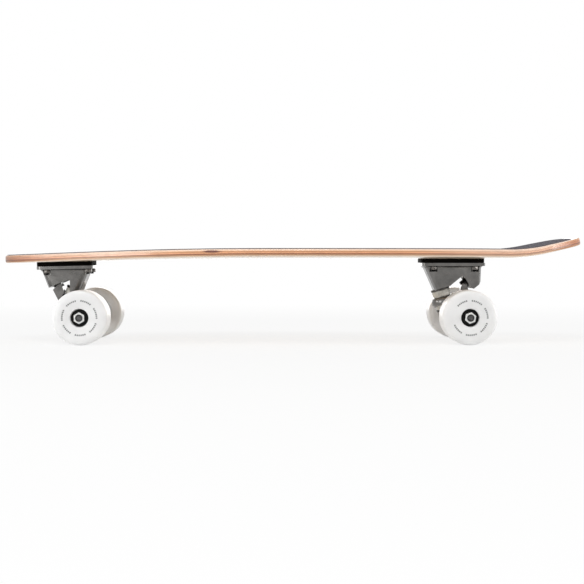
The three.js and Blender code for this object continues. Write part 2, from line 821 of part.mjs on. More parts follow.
function hanger(truck) {
  const { seatPoint, down, ring, pivot, steering } = truck;
  const boss = turned(
    [
      [0, ringTop],
      [ringRimRadius, ringTop],
      [ringRadius, ringTop + ringThickness / 2],
      [ringRadius, ringFloor],
      [ringRimRadius, ringEnd],
      [0, ringEnd],
    ],
    ringSides,
    seatPoint,
    down,
  );
  const webOutline = linkOutline([0, 0], barMiddleRadius, [ring.x, ring.z], ringRimRadius - wallThickness);
  const nose = turned(
    [
      [0, -noseRoot],
      [noseRadius, -noseRoot],
      [noseRadius, 0],
      [noseRadius * Math.cos(Math.PI / 4), noseTip * Math.sin(Math.PI / 4)],
      [0, noseTip],
    ],
    smallSides,
    pivot,
    steering,
  );
  const whole = union(
    axleBar(),
    wings(truck),
    boss,
    sidePlate(webOutline, webHalfWidth),
    sidePlate(truck.stemOutline, stemHalfWidth),
  );
  const washerRoom = cupWasherRadius + swingRoom;
  const nutRoomRadius = kingpinNutFlat / 2 / Math.cos(Math.PI / 6) + nutRoom;
  const cleared = cut(
    whole,
    rod(ringBore, ringTop - overrun, ringEnd + overrun, ringSides, seatPoint, down),
    rod(ringLandRadius, -overrun, ringTop, ringSides, seatPoint, down),
    rod(bushingRadius + bushingRoom, ringFloor, ringEnd + overrun, ringSides, seatPoint, down),
    swung(rod(washerRoom, ringEnd, lowerWasherEnd + swingRoom, pinSides, seatPoint, down), truck),
    swung(rod(nutRoomRadius, lowerWasherEnd, kingpinEnd + nutRoom, smallSides, seatPoint, down), truck),
    rod(axleRadius + axleBoreClearance, -axleEnd, axleEnd, pinSides, new THREE.Vector3(), across),
  );
  return cleared.add(nose);
}

function axle() {
  const [end, inner] = [axleEnd, axleEnd - axleChamfer];
  const tip = axleRadius - axleChamfer;
  const profile = [[0, -end], [tip, -end], [axleRadius, -inner], [axleRadius, inner], [tip, end], [0, end]];
  return turned(profile, smallSides, new THREE.Vector3(), across);
}

// Wheel sets, along +Y from the middle of the wheel's outer bearing towards the board's outside

function wheel() {
  const seat = bearingRadius + seatClearance;
  const web = spacerLength / 2;
  const mouthFloor = web + bearingWidth;
  const [face, inner] = [wheelFaceAt - wheelMiddle, wheelInnerAt - wheelMiddle];
  const lip = (end, side) =>
    Array.from({ length: lipSteps + 1 }, (_, i) => {
      const angle = (i / lipSteps) * (Math.PI / 2);
      const reach = (facetedRadius(wheelRadius) - wheelDiscRadius) * Math.sin(angle);
      return [wheelDiscRadius + reach, end - side * wheelLipDepth * (1 - Math.cos(angle))];
    });
  const profile = [
    [wheelWebRadius, -web],
    [wheelWebRadius, web],
    [seat, web],
    [seat, mouthFloor],
    [wheelMouthRadius, face],
    ...lip(face, 1),
    ...lip(inner, -1).reverse(),
    [wheelCupRadius, inner],
    [wheelCupFloorRadius, -mouthFloor],
    [seat, -mouthFloor],
    [seat, -web],
  ];
  return turned(profile, wheelSides, new THREE.Vector3(), across, Math.PI / wheelSides);
}

// Corner radius of a wheel whose flats lie at the true radius
function facetedRadius(radius) {
  return radius / Math.cos(Math.PI / wheelSides);
}

const wheelMiddle = innerBearingAt + bearingWidth + runningGap + spacerLength / 2;

// The face with the shield points to +Y
function bearing() {
  const profile = [
    [bearingBore, 0],
    [bearingRadius, 0],
    [bearingRadius, bearingWidth],
    [bearingRimRadius, bearingWidth],
    [bearingRimRadius - shieldDepth, bearingWidth - shieldDepth],
    [bearingBore, bearingWidth - shieldDepth],
  ];
  return turned(profile, bearingSides, new THREE.Vector3(), across, Math.PI / bearingSides);
}

function bearingSpacer() {
  const half = spacerLength / 2;
  const profile = [[bearingBore, -half], [spacerRadius, -half], [spacerRadius, half], [bearingBore, half]];
  return turned(profile, smallSides, new THREE.Vector3(), across);
}

// Lock nut with its speed washer, which starts at the origin, along +Y
function axleNut(turn) {
  const origin = new THREE.Vector3();
  const shoulder = speedWasherThickness + axleNutThickness - axleCollarHeight;
  const end = speedWasherThickness + axleNutThickness;
  const bore = axleRadius + axleBoreClearance;
  return cut(
    union(
      rod(speedWasherRadius, 0, speedWasherThickness, pinSides, origin, across),
      hexPrism(axleNutFlat, speedWasherThickness, shoulder, origin, across, turn),
      rod(axleCollarRadius, shoulder, end, pinSides, origin, across),
    ),
    rod(bore, -overrun, end + overrun, pinSides, origin, across),
  );
}

// Truck bolt and nut, along +Z from the top of the baseplate

function truckBolt(truck) {
  const top = mountHeight(truck) + deckThickness + gripThickness + seatGap - truck.plateHeight;
  const end = -plateThickness - stackGap - truckNutThickness - boltTip;
  const profile = [[0, end], [boltRadius, end], [boltRadius, top - boltHeadDepth], [boltHeadRadius, top], [0, top]];
  return turned(profile, boltSides, new THREE.Vector3(), up);
}

function truckNut() {
  const top = -plateThickness - stackGap;
  const end = top - truckNutThickness;
  const origin = new THREE.Vector3();
  const bore = boltRadius + axleBoreClearance;
  return cut(
    hexPrism(truckNutFlat, end, top, origin, up),
    rod(bore, end - overrun, top + overrun, boltSides, origin, up),
  );
}

// Assembly

const sideNames = { [-1]: "left", 1: "right" };

function addBolts(group, truck) {
  truck.bolts.forEach(([out, y], i) => {
    const row = i < 2 ? "outer" : "inner";
    const side = sideNames[Math.sign(y) * Math.cos(truck.heading)];
    const bolt = piece(`${truck.end}_${row}_${side}_bolt`, truckBolt(truck), "black");
    const nut = piece(`${truck.end}_${row}_${side}_bolt_nut`, truckNut(), "zinc");
    for (const mesh of [bolt, nut]) {
      mesh.position.set(out, y, truck.plateHeight);
      group.add(mesh);
    }
  });
}

function addWheelSet(group, truck, side) {
  const name = `${truck.end}_${sideNames[side * Math.cos(truck.heading)]}`;
  const set = new THREE.Group();
  if (side < 0) set.rotation.z = Math.PI;
  const tyre = piece(`${name}_wheel`, wheel(), "urethane");
  tyre.position.y = wheelMiddle;
  const spacer = piece(`${name}_bearing_spacer`, bearingSpacer(), "steel");
  spacer.position.y = wheelMiddle;
  const inner = piece(`${name}_inner_bearing`, bearing(), "shield");
  inner.rotation.z = Math.PI;
  inner.position.y = innerBearingAt + bearingWidth;
  const outer = piece(`${name}_outer_bearing`, bearing(), "shield");
  outer.position.y = outerBearingAt;
  const nut = piece(`${name}_axle_nut`, axleNut(truck.nutTurn), "zinc");
  nut.position.y = axleNutAt;
  set.add(tyre, spacer, inner, outer, nut);
  group.add(set);
}

function truckAssembly(truck, group) {
  const { end } = truck;
  group.add(
    piece(`${end}_riser_pad`, riserPad(truck), "rubber"),
    piece(`${end}_baseplate`, baseplate(truck), "cast"),
    piece(`${end}_kingpin`, kingpin(truck), "steel"),
    piece(`${end}_kingpin_nut`, kingpinNut(truck), "zinc"),
    piece(`${end}_upper_cup_washer`, cupWasher(truck, upperWasherTop, 1), "zinc"),
    piece(`${end}_lower_cup_washer`, cupWasher(truck, lowerWasherTop, -1), "zinc"),
    piece(`${end}_upper_bushing`, upperBushing(truck), "bushing"),
    piece(`${end}_lower_bushing`, lowerBushing(truck), "bushing"),
    piece(`${end}_pivot_cup`, pivotCup(truck), "rubber"),
    piece(`${end}_hanger`, hanger(truck), "cast"),
    piece(`${end}_axle`, axle(), "steel"),
  );
  addBolts(group, truck);
  addWheelSet(group, truck, -1);
  addWheelSet(group, truck, 1);
}

function surfSkateboard() {
  const board = new THREE.Group();
  const groups = [front, rear].map((truck) => ({ truck, group: truckGroup(truck) }));
  const cutters = boardCutters(groups);
  const deck = boardLayer(0, deckThickness, deckEdge, 0);
  const gripLow = deckThickness + seatGap;
  const grip = boardLayer(gripLow, gripLow + gripThickness, 0, deckEdge);
  board.add(piece("deck", cut(deck, ...cutters), "maple"));
  board.add(piece("grip_tape", cut(grip, ...cutters), "grip"));
  for (const { truck, group } of groups) {
    truckAssembly(truck, group);
    board.add(group);
  }
  return board;
}

export default surfSkateboard();
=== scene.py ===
import math

import bmesh
import bpy
from mathutils import Matrix, Vector


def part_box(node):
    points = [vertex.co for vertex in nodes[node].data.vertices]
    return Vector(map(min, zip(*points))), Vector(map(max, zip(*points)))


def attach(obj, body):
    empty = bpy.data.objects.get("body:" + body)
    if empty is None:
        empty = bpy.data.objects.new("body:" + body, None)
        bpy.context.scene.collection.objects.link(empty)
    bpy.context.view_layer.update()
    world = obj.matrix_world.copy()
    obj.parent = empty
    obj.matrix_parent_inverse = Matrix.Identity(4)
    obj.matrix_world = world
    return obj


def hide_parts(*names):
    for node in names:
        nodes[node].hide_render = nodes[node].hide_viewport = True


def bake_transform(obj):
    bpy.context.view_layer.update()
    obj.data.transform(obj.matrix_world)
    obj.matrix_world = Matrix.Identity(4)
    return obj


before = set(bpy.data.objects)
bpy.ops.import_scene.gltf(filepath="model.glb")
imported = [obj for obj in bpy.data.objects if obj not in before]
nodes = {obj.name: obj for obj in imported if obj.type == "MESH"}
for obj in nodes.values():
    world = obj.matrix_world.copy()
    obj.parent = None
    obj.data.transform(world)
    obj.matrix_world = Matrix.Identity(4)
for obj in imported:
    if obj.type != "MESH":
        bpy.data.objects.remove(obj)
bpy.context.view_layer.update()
print("frame loaded:", len(nodes), "parts")

mm = 0.001


# small helpers

def toLinear(hexText):
    parts = [int(hexText[i:i + 2], 16) / 255 for i in (1, 3, 5)]
    return tuple(c / 12.92 if c <= 0.04045 else ((c + 0.055) / 1.055) ** 2.4 for c in parts) + (1.0,)


# in the settings, "in:" marks an input's own value; stops fill a colour ramp
def addNode(tree, kind, settings=None, links=None, stops=None):
    node = tree.nodes.new(kind)
    for name, value in (settings or {}).items():
        if name.startswith("in:"):
            key = name[3:]
            node.inputs[int(key) if key.isdigit() else key].default_value = value
        else:
            setattr(node, name, value)
    for key, socket in (links or {}).items():
        tree.links.new(socket, node.inputs[key])
    for i, (at, colour) in enumerate(stops or []):
        band = node.color_ramp.elements
        element = band[i] if i < len(band) else band.new(at)
        element.position = at
        element.color = toLinear(colour) if isinstance(colour, str) else (colour, colour, colour, 1)
    return node


def newMaterial(name, shader):
    mat = bpy.data.materials.new(name)
    mat.use_nodes = True
    tree = mat.node_tree
    tree.nodes.clear()
    bsdf = addNode(tree, "ShaderNodeBsdfPrincipled", {"in:" + k: v for k, v in shader.items()})
    addNode(tree, "ShaderNodeOutputMaterial", None, {"Surface": bsdf.outputs[0]})
    return mat, tree, bsdf, addNode(tree, "ShaderNodeTexCoord").outputs["Object"]


def placeInScene(name, data):
    obj = bpy.data.objects.new(name, data)
    bpy.context.scene.collection.objects.link(obj)
    return obj


def meshObject(name, verts, faces, smooth=35, **marks):  # marks are named values, one for each vertex
    mesh = bpy.data.meshes.new(name)
    mesh.from_pydata([tuple(v) for v in verts], [], faces)
    for label, values in marks.items():
        mesh.attributes.new(label, "FLOAT", "POINT").data.foreach_set("value", values)
    obj = placeInScene(name, mesh)
    tidyMesh(mesh, smooth)
    return obj


def smoothFaces(mesh, angle):
    for face in mesh.polygons:
        face.use_smooth = True
    mesh.set_sharp_from_angle(angle=math.radians(angle))


def tidyMesh(mesh, smooth=35):
    work = bmesh.new()
    work.from_mesh(mesh)
    bmesh.ops.remove_doubles(work, verts=work.verts, dist=1e-6)
    bmesh.ops.dissolve_degenerate(work, edges=work.edges, dist=1e-7)
    bmesh.ops.recalc_face_normals(work, faces=work.faces)
    work.to_mesh(mesh)
    work.free()
    smoothFaces(mesh, smooth)
    mesh.update()


def applyModifiers(obj):
    bpy.context.view_layer.update()
    graph = bpy.context.evaluated_depsgraph_get()
    mesh = bpy.data.meshes.new_from_object(obj.evaluated_get(graph), depsgraph=graph)
    obj.modifiers.clear()
    obj.data = mesh
    return obj


def bevelEdges(obj, width, segments, angle):
    mod = obj.modifiers.new("rounded edge", "BEVEL")
    mod.width = width * mm
    mod.segments = segments
    mod.limit_method = "ANGLE"
    mod.angle_limit = math.radians(angle)
    applyModifiers(obj)


# a body of revolution; the profile holds radius and place along the axis, in mm
def turned(name, profile, sides, centre, direction, smooth=35, turn=0.0):
    aim = Vector(direction).normalized()
    side = (Vector((0, 1, 0)) if abs(aim.y) < 0.9 else Vector((1, 0, 0))).cross(aim).normalized()
    other = aim.cross(side)
    verts, faces = [], []
    for radius, along in profile:
        for i in range(sides):
            a = turn + 2 * math.pi * i / sides
            out = side * math.cos(a) + other * math.sin(a)
            verts.append(Vector(centre) + aim * (along * mm) + out * (radius * mm))
    bands = len(profile) - (0 if profile[0][0] > 0 else 1)  # a profile clear of the axis closes on itself
    for k in range(bands):
        below, above = k * sides, ((k + 1) % len(profile)) * sides
        for i in range(sides):
            j = (i + 1) % sides
            faces.append((below + i, below + j, above + j, above + i))
    return meshObject(name, verts, faces, smooth)


def copyOf(node, name, bevel, segments, smooth=38):  # a CAD part with rounded edges
    mesh = nodes[node].data.copy()
    mesh.materials.clear()
    obj = placeInScene(name, mesh)
    work = bmesh.new()
    work.from_mesh(mesh)
    bmesh.ops.remove_doubles(work, verts=work.verts, dist=2e-6)
    bmesh.ops.dissolve_limit(work, angle_limit=math.radians(0.5), verts=work.verts, edges=work.edges)
    work.to_mesh(mesh)
    work.free()
    bevelEdges(obj, bevel, segments, smooth)
    smoothFaces(obj.data, smooth)
    mod = obj.modifiers.new("flat faces stay flat", "WEIGHTED_NORMAL")
    mod.keep_sharp = True
    return applyModifiers(obj)


# a Geometry Nodes tree with named inputs; gives the tree, its input node and the sockets' identifiers
def newTree(name, inputs):
    tree = bpy.data.node_groups.new(name, "GeometryNodeTree")
    tree.interface.new_socket(name="Geometry", in_out="INPUT", socket_type="NodeSocketGeometry")
    tree.interface.new_socket(name="Geometry", in_out="OUTPUT", socket_type="NodeSocketGeometry")
    keys = {}
    for label, kind in inputs.items():
        socket = tree.interface.new_socket(name=label, in_out="INPUT", socket_type="NodeSocket" + kind)
        keys[label] = socket.identifier
    return tree, addNode(tree, "NodeGroupInput"), keys


def endTree(tree, geometry, mat):  # instances are made real here, because the export drops them
    real = addNode(tree, "GeometryNodeRealizeInstances", None, {"Geometry": geometry})
    dressed = addNode(tree, "GeometryNodeSetMaterial", {"in:Material": mat}, {"Geometry": real.outputs[0]})
    addNode(tree, "NodeGroupOutput", None, {0: dressed.outputs[0]})


def growWith(obj, tree, keys, values):
    mod = obj.modifiers.new(tree.name, "NODES")
    mod.node_group = tree
    for label, value in values.items():
        mod[keys[label]] = list(value) if isinstance(value, (tuple, Vector)) else value
    applyModifiers(obj)
    tidyMesh(obj.data)


def looseMesh(name, places, edges=(), **vectors):  # no faces; its vertices may carry named vectors
    mesh = bpy.data.meshes.new(name)
    mesh.from_pydata([tuple(p) for p in places], edges, [])
    for label, values in vectors.items():
        held = mesh.attributes.new(label, "FLOAT_VECTOR", "POINT")
        held.data.foreach_set("vector", [c for v in values for c in v])
    return placeInScene(name, mesh)


def centreOf(node):
    low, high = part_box(node)
    return (Vector(low) + Vector(high)) / 2


def dress(obj, mat, slotName, body, *replaced):
    obj.data.materials.clear()
    obj.data.materials.append(mat)
    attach(obj, body)
    if replaced:
        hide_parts(*replaced)


# materials

mixed = {"data_type": "RGBA"}
multiplied = {"data_type": "RGBA", "blend_type": "MULTIPLY", "in:0": 1.0}

mapleLook = {
    # the nose's grey is painted shade of its end; the darker end tint is cross-cut grain, with painted shade as
    # well
    "face": "#F3E3CB", "faceDark": "#D9B588", "endGrain": "#C9A27E", "noseGrain": "#A79A94",
    "plies": ["#F3DCC6", "#C79870", "#94542C", "#EBA878", "#CC8A5B", "#FACDA6", "#FBDCC6"],  # from the bottom up
    # noises drawn out along the board: squeeze, size, detail, roughness
    "noises": {"grain": (0.015, 2.7 * mm, 5.0, 0.6), "figure": (0.12, 18 * mm, 3.0, 0.5),
               "waver": (0.2, 12 * mm, 3.0, 0.5), "streak": (0.05, 2.2 * mm, 4.0, 0.65)},
    "grainDepth": 0.06 * mm, "waver": 0.05, "glueLine": 0.012,
    # pale: the colour of the painted side-lamp highlight on the upper plies at both ends
    "pale": "#FBDFCD", "paleShare": 0.6, "paleFrom": 0.13, "paleTo": 0.27,
    "knot": (-102 * mm, -123 * mm, 119.4 * mm), "knotSize": 14 * mm, "knotHeight": 0.14, "knotDark": "#7A4628",
    "soakedAndShadedFrom": 0.28, "soakedAndShadedTo": 0.62, "soakedGloss": 0.12, "greyFrom": -0.5, "greyTo": -0.9,
}


# sliced maple under clear varnish: pale, fine long grain, a soft gloss; the cut edge shows seven plies
def makeMaple():
    look = mapleLook
    mat, tree, bsdf, point = newMaterial("varnished maple veneer", {"Roughness": 0.42, "Coat Roughness": 0.14})
    noise = {}
    for label, (squeeze, size, detail, rough) in look["noises"].items():
        drawn = addNode(tree, "ShaderNodeMapping", {"in:Scale": (squeeze, 1, 1)}, {"Vector": point}).outputs[0]
        settings = {"in:Scale": 1 / size, "in:Detail": detail, "in:Roughness": rough}
        noise[label] = addNode(tree, "ShaderNodeTexNoise", settings, {"Vector": drawn}).outputs["Fac"]
    both = addNode(tree, "ShaderNodeMath", {"operation": "MULTIPLY"}, {0: noise["grain"], 1: noise["figure"]})
    face = addNode(tree, "ShaderNodeValToRGB", None, {"Fac": both.outputs[0]},
                   [(0.12, look["faceDark"]), (0.36, look["face"])]).outputs[0]
    # each ply's edge wavers a little along the board, from sawing and glue
    depth = addNode(tree, "ShaderNodeAttribute", {"attribute_name": "plyDepth"}).outputs["Fac"]
    about = {"operation": "MULTIPLY_ADD", "in:1": look["waver"], "in:2": -look["waver"] / 2}
    offset = addNode(tree, "ShaderNodeMath", about, {0: noise["waver"]}).outputs[0]
    place = addNode(tree, "ShaderNodeMath", {"operation": "ADD"}, {0: depth, 1: offset}).outputs[0]
    count, glue = len(look["plies"]), look["glueLine"]
    stops = [(at, colour) for i, colour in enumerate(look["plies"])
             for at in (i / count + glue, (i + 1) / count - glue)]
    plies = addNode(tree, "ShaderNodeValToRGB", None, {"Fac": place}, stops).outputs[0]
    # painted highlight of the side lamps: the upper plies are paler towards both ends of the board
    along = addNode(tree, "ShaderNodeSeparateXYZ", None, {0: point}).outputs["X"]
    fromMiddle = addNode(tree, "ShaderNodeMath", {"operation": "ABSOLUTE"}, {0: along}).outputs[0]
    sideLightRange = {"interpolation_type": "SMOOTHSTEP", "in:From Min": look["paleFrom"], "in:From Max": look["paleTo"],
               "in:To Max": look["paleShare"]}
    paleness = addNode(tree, "ShaderNodeMapRange", sideLightRange, {"Value": fromMiddle}).outputs[0]
    paleness = addNode(tree, "ShaderNodeMath", {"operation": "MULTIPLY"}, {0: paleness, 1: depth}).outputs[0]
    paler = {**mixed, "in:7": toLinear(look["pale"])}
    plies = addNode(tree, "ShaderNodeMix", paler, {0: paleness, 6: plies}).outputs[2]
    streak = addNode(tree, "ShaderNodeValToRGB", None, {"Fac": noise["streak"]}, [(0.3, 0.8), (0.6, 1.0)])
    streaked = addNode(tree, "ShaderNodeMix", multiplied, {6: plies, 7: streak.outputs[0]}).outputs[2]
    # one dark knot streak shows on the near edge
    size = look["knotSize"]
    spot = {"vector_type": "TEXTURE", "in:Location": look["knot"],
            "in:Scale": (size, size, look["knotHeight"] * size)}
    knotPoint = addNode(tree, "ShaderNodeMapping", spot, {"Vector": point}).outputs[0]
    knot = addNode(tree, "ShaderNodeTexGradient", {"gradient_type": "SPHERICAL"}, {"Vector": knotPoint})
    knotShade = addNode(tree, "ShaderNodeValToRGB", None, {"Fac": knot.outputs["Fac"]},
                        [(0.0, "#FFFFFF"), (0.45, look["knotDark"])]).outputs[0]
    knotted = addNode(tree, "ShaderNodeMix", multiplied, {6: streaked, 7: knotShade}).outputs[2]
    # the plies cut across their grain, at both ends, have soaked up more varnish and are darker, with painted shade
    # there too where the edge turns away from the light; the nose's end is painted a grey shade
    normal = addNode(tree, "ShaderNodeTexCoord").outputs["Normal"]
    facing = addNode(tree, "ShaderNodeSeparateXYZ", None, {0: normal}).outputs["X"]
    across = addNode(tree, "ShaderNodeMath", {"operation": "ABSOLUTE"}, {0: facing}).outputs[0]
    endGrain = {"interpolation_type": "SMOOTHSTEP", "in:From Min": look["soakedAndShadedFrom"],
                "in:From Max": look["soakedAndShadedTo"]}
    soakedAndShaded = addNode(tree, "ShaderNodeMapRange", endGrain, {"Value": across}).outputs[0]
    # painted shade: the nose's end, turned away from the light, is painted grey
    noseShadeRange = {"in:From Min": look["greyFrom"], "in:From Max": look["greyTo"]}
    atNose = addNode(tree, "ShaderNodeMapRange", noseShadeRange, {"Value": facing}).outputs[0]
    tints = {**mixed, "in:6": toLinear(look["endGrain"]), "in:7": toLinear(look["noseGrain"])}
    endTint = addNode(tree, "ShaderNodeMix", tints, {0: atNose}).outputs[2]
    soakedAndShadedTint = addNode(tree, "ShaderNodeMix", multiplied, {6: streaked, 7: endTint}).outputs[2]
    edge = addNode(tree, "ShaderNodeMix", mixed, {0: soakedAndShaded, 6: knotted, 7: soakedAndShadedTint}).outputs[2]
    onEdge = addNode(tree, "ShaderNodeAttribute", {"attribute_name": "plyEdge"}).outputs["Fac"]
    colour = addNode(tree, "ShaderNodeMix", mixed, {0: onEdge, 6: face, 7: edge}).outputs[2]
    tree.links.new(colour, bsdf.inputs["Base Color"])
    # the coat is thin where the end grain has drunk it
    coat = {"in:To Min": 1.0, "in:To Max": look["soakedGloss"]}
    gloss = addNode(tree, "ShaderNodeMapRange", coat, {"Value": soakedAndShaded}).outputs[0]
    tree.links.new(gloss, bsdf.inputs["Coat Weight"])
    relief = {"in:Distance": look["grainDepth"], "in:Strength": 0.5}
    raised = addNode(tree, "ShaderNodeBump", relief, {"Height": noise["grain"]}).outputs[0]
    tree.links.new(raised, bsdf.inputs["Normal"])
    return mat


gripLook = {"dark": "#464349", "light": "#78757C", "grit": 0.9 * mm, "gritDepth": 0.25 * mm, "wear": 30 * mm}


# silicon carbide grit glued to a sheet: matt, bluish dark grey, fine sparkle (drawn coarser than the real 0.4 mm)
def makeGrip():
    look = gripLook
    mat, tree, bsdf, point = newMaterial("carbide grit sheet", {"Roughness": 0.95, "Specular IOR Level": 0.1})
    fine = {"in:Scale": 1 / look["grit"], "in:Detail": 2.0, "in:Roughness": 0.7}
    grit = addNode(tree, "ShaderNodeTexNoise", fine, {"Vector": point}).outputs["Fac"]
    wide = {"in:Scale": 1 / look["wear"], "in:Detail": 3.0}
    cloud = addNode(tree, "ShaderNodeTexNoise", wide, {"Vector": point}).outputs["Fac"]
    colour = addNode(tree, "ShaderNodeValToRGB", None, {"Fac": grit}, [(0.34, look["dark"]), (0.7, look["light"])])
    worn = addNode(tree, "ShaderNodeValToRGB", None, {"Fac": cloud}, [(0.3, 0.88), (0.7, 1.0)])
    shade = addNode(tree, "ShaderNodeMix", multiplied, {6: colour.outputs[0], 7: worn.outputs[0]}).outputs[2]
    tree.links.new(shade, bsdf.inputs["Base Color"])
    relief = {"in:Distance": look["gritDepth"], "in:Strength": 0.7}
    raised = addNode(tree, "ShaderNodeBump", relief, {"Height": grit}).outputs[0]
    tree.links.new(raised, bsdf.inputs["Normal"])
    return mat


# plain finishes: two colours over a cloudy noise, a roughness that wanders, and a fine bump
# cloud, wander, bump and depth are in mm
metal = {"Metallic": 1.0}
finishes = {
    # moulded black urethane pad: nearly black, faint mottling, matt
    "moulded black riser": {
        "low": "#050404", "high": "#0B0908", "cloud": 6, "rough": (0.6, 0.75), "wander": 4, "bump": 0.6,
        "depth": 0.05, "shader": {"Specular IOR Level": 0.03}},
    # gravity-cast aluminium, tumbled: satin grey, faintly cloudy, soft pebble
    "tumbled cast aluminium": {
        "low": "#605F5D", "high": "#787674", "cloud": 14, "rough": (0.17, 0.3), "wander": 9, "bump": 1.6,
        "depth": 0.02, "shader": metal},
    # poured white urethane: smooth, faintly cloudy, soft gloss
    "poured white urethane": {
        "low": "#E8E8E8", "high": "#F0F0F0", "cloud": 20, "rough": (0.28, 0.38), "wander": 8, "bump": 3,
        "depth": 0.02,
        "shader": {"Specular IOR Level": 0.4, "Subsurface Weight": 0.06, "Subsurface Scale": 3 * mm,
                   "Subsurface Radius": (1.0, 1.0, 1.0)}},
    # pad-printed ink: dark grey, matt
    "pad-print ink": {
        "low": "#1C1C1E", "high": "#4C4C4E", "cloud": 1.2, "rough": (0.45, 0.55), "wander": 2, "bump": 0.5,
        "depth": 0.01},
    # moulded rubber bearing shield: black, soft gloss; the bearings' steel races take it too, as painted shade of
    # the wheel's recess
    "rubber bearing shield": {
        "low": "#060606", "high": "#101010", "cloud": 2, "rough": (0.36, 0.48), "wander": 2, "bump": 0.5,
        "depth": 0.02, "shader": {"Specular IOR Level": 0.15}},
    # bright zinc plate on turned steel: pale silver, crisp glints
    "bright zinc plate": {
        "low": "#C9CBCC", "high": "#E4E3DE", "cloud": 4, "rough": (0.15, 0.3), "wander": 1.5, "bump": 0.8,
        "depth": 0.01, "shader": metal},
    # dull dark plating on nuts and pressed washers, with worn spots
    "dull dark plating": {
        "low": "#3A3836", "high": "#77736F", "cloud": 2.5, "rough": (0.28, 0.42), "wander": 1.5, "bump": 0.6,
        "depth": 0.03, "shader": metal},
    # plain turned steel: mid grey, faint tool marks
    "turned steel": {
        "low": "#5C5D5F", "high": "#77787A", "cloud": 2, "rough": (0.32, 0.44), "wander": 1.5, "bump": 0.5,
        "depth": 0.03, "shader": metal},
    # blackened steel screws: near black with small glints
    "blackened steel": {
        "low": "#1B1B1D", "high": "#2E2E30", "cloud": 2, "rough": (0.3, 0.42), "wander": 1.5, "bump": 0.5,
        "depth": 0.03, "shader": metal},
    # nylon ring pressed into a lock nut: dark, waxy
    "nylon insert": {
        "low": "#2E2E30", "high": "#4A4A4C", "cloud": 1.2, "rough": (0.45, 0.55), "wander": 1, "bump": 0.5,
        "depth": 0.01},
    # poured urethane bushing: pale warm grey, waxy
    "poured grey bushing": {
        "low": "#CBC8BF", "high": "#DEDBD3", "cloud": 5, "rough": (0.4, 0.5), "wander": 3, "bump": 1,
        "depth": 0.03,
        "shader": {"Subsurface Weight": 0.1, "Subsurface Scale": 2 * mm, "Subsurface Radius": (1.0, 1.0, 1.0)}},
}


def makeFinish(name):
    look = finishes[name]
    mat, tree, bsdf, point = newMaterial(name, look.get("shader", {}))
    noise = {}
    for label, detail, rough in (("cloud", 3.0, 0.55), ("wander", 2.0, 0.5), ("bump", 2.0, 0.5)):
        settings = {"in:Scale": 1 / (look[label] * mm), "in:Detail": detail, "in:Roughness": rough}
        noise[label] = addNode(tree, "ShaderNodeTexNoise", settings, {"Vector": point}).outputs["Fac"]
    colour = addNode(tree, "ShaderNodeValToRGB", None, {"Fac": noise["cloud"]},
                     [(0.3, look["low"]), (0.7, look["high"])])
    low, high = look["rough"]
    limits = {"in:From Min": 0.25, "in:From Max": 0.75, "in:To Min": low, "in:To Max": high}
    rough = addNode(tree, "ShaderNodeMapRange", limits, {"Value": noise["wander"]})
    relief = {"in:Distance": look["depth"] * mm, "in:Strength": 0.6}
    raised = addNode(tree, "ShaderNodeBump", relief, {"Height": noise["bump"]})
    for node, socket in ((colour, "Base Color"), (rough, "Roughness"), (raised, "Normal")):
        tree.links.new(node.outputs[0], bsdf.inputs[socket])
    return mat


# wavePeriod: a wave node at scale 1 repeats after this many metres
axleLook = {"low": "#3C3C3D", "high": "#636262", "mottle": 1.5 * mm, "ringPitch": 0.9 * mm, "ringDepth": 0.12 * mm,
            "wavePeriod": 0.314}


def makeAxleSteel():  # axle rod: dark turned steel, with lathe rings on its cut ends
    look = axleLook
    mat, tree, bsdf, point = newMaterial("turned axle steel", {"Metallic": 1.0, "Roughness": 0.4})
    mottle = {"in:Scale": 1 / look["mottle"], "in:Detail": 3.0}
    tone = addNode(tree, "ShaderNodeTexNoise", mottle, {"Vector": point}).outputs["Fac"]
    colour = addNode(tree, "ShaderNodeValToRGB", None, {"Fac": tone}, [(0.3, look["low"]), (0.7, look["high"])])
    tree.links.new(colour.outputs[0], bsdf.inputs["Base Color"])
    where = addNode(tree, "ShaderNodeSeparateXYZ", None, {0: point}).outputs["X"]
    onFront = addNode(tree, "ShaderNodeMath", {"operation": "LESS_THAN", "in:1": 0.0}, {0: where}).outputs[0]
    waves = {"wave_type": "RINGS", "rings_direction": "Y", "in:Scale": look["wavePeriod"] / look["ringPitch"]}
    rings = []
    for end in ("rear", "front"):  # one set of rings about each axle
        shift = {"in:Location": tuple(-centreOf(f"{end}_axle"))}
        centred = addNode(tree, "ShaderNodeMapping", shift, {"Vector": point}).outputs[0]
        rings.append(addNode(tree, "ShaderNodeTexWave", waves, {"Vector": centred}).outputs["Fac"])
    rear, front = rings
    height = addNode(tree, "ShaderNodeMix", {"data_type": "FLOAT"}, {0: onFront, 2: rear, 3: front}).outputs[0]
    relief = {"in:Distance": look["ringDepth"], "in:Strength": 0.7}
    raised = addNode(tree, "ShaderNodeBump", relief, {"Height": height}).outputs[0]
    tree.links.new(raised, bsdf.inputs["Normal"])
    return mat


maple = makeMaple()
gripSheet = makeGrip()
axleSteel = makeAxleSteel()
riserPad = makeFinish("moulded black riser")
casting = makeFinish("tumbled cast aluminium")
urethane = makeFinish("poured white urethane")
ink = makeFinish("pad-print ink")
blackRubberAndRaceShade = makeFinish("rubber bearing shield")
zinc = makeFinish("bright zinc plate")
darkPlate = makeFinish("dull dark plating")
steel = makeFinish("turned steel")
blackSteel = makeFinish("blackened steel")
nylon = makeFinish("nylon insert")
bushingUrethane = makeFinish("poured grey bushing")
print("materials made")


# the board, from the same measures as the CAD source; all shapes are in mm

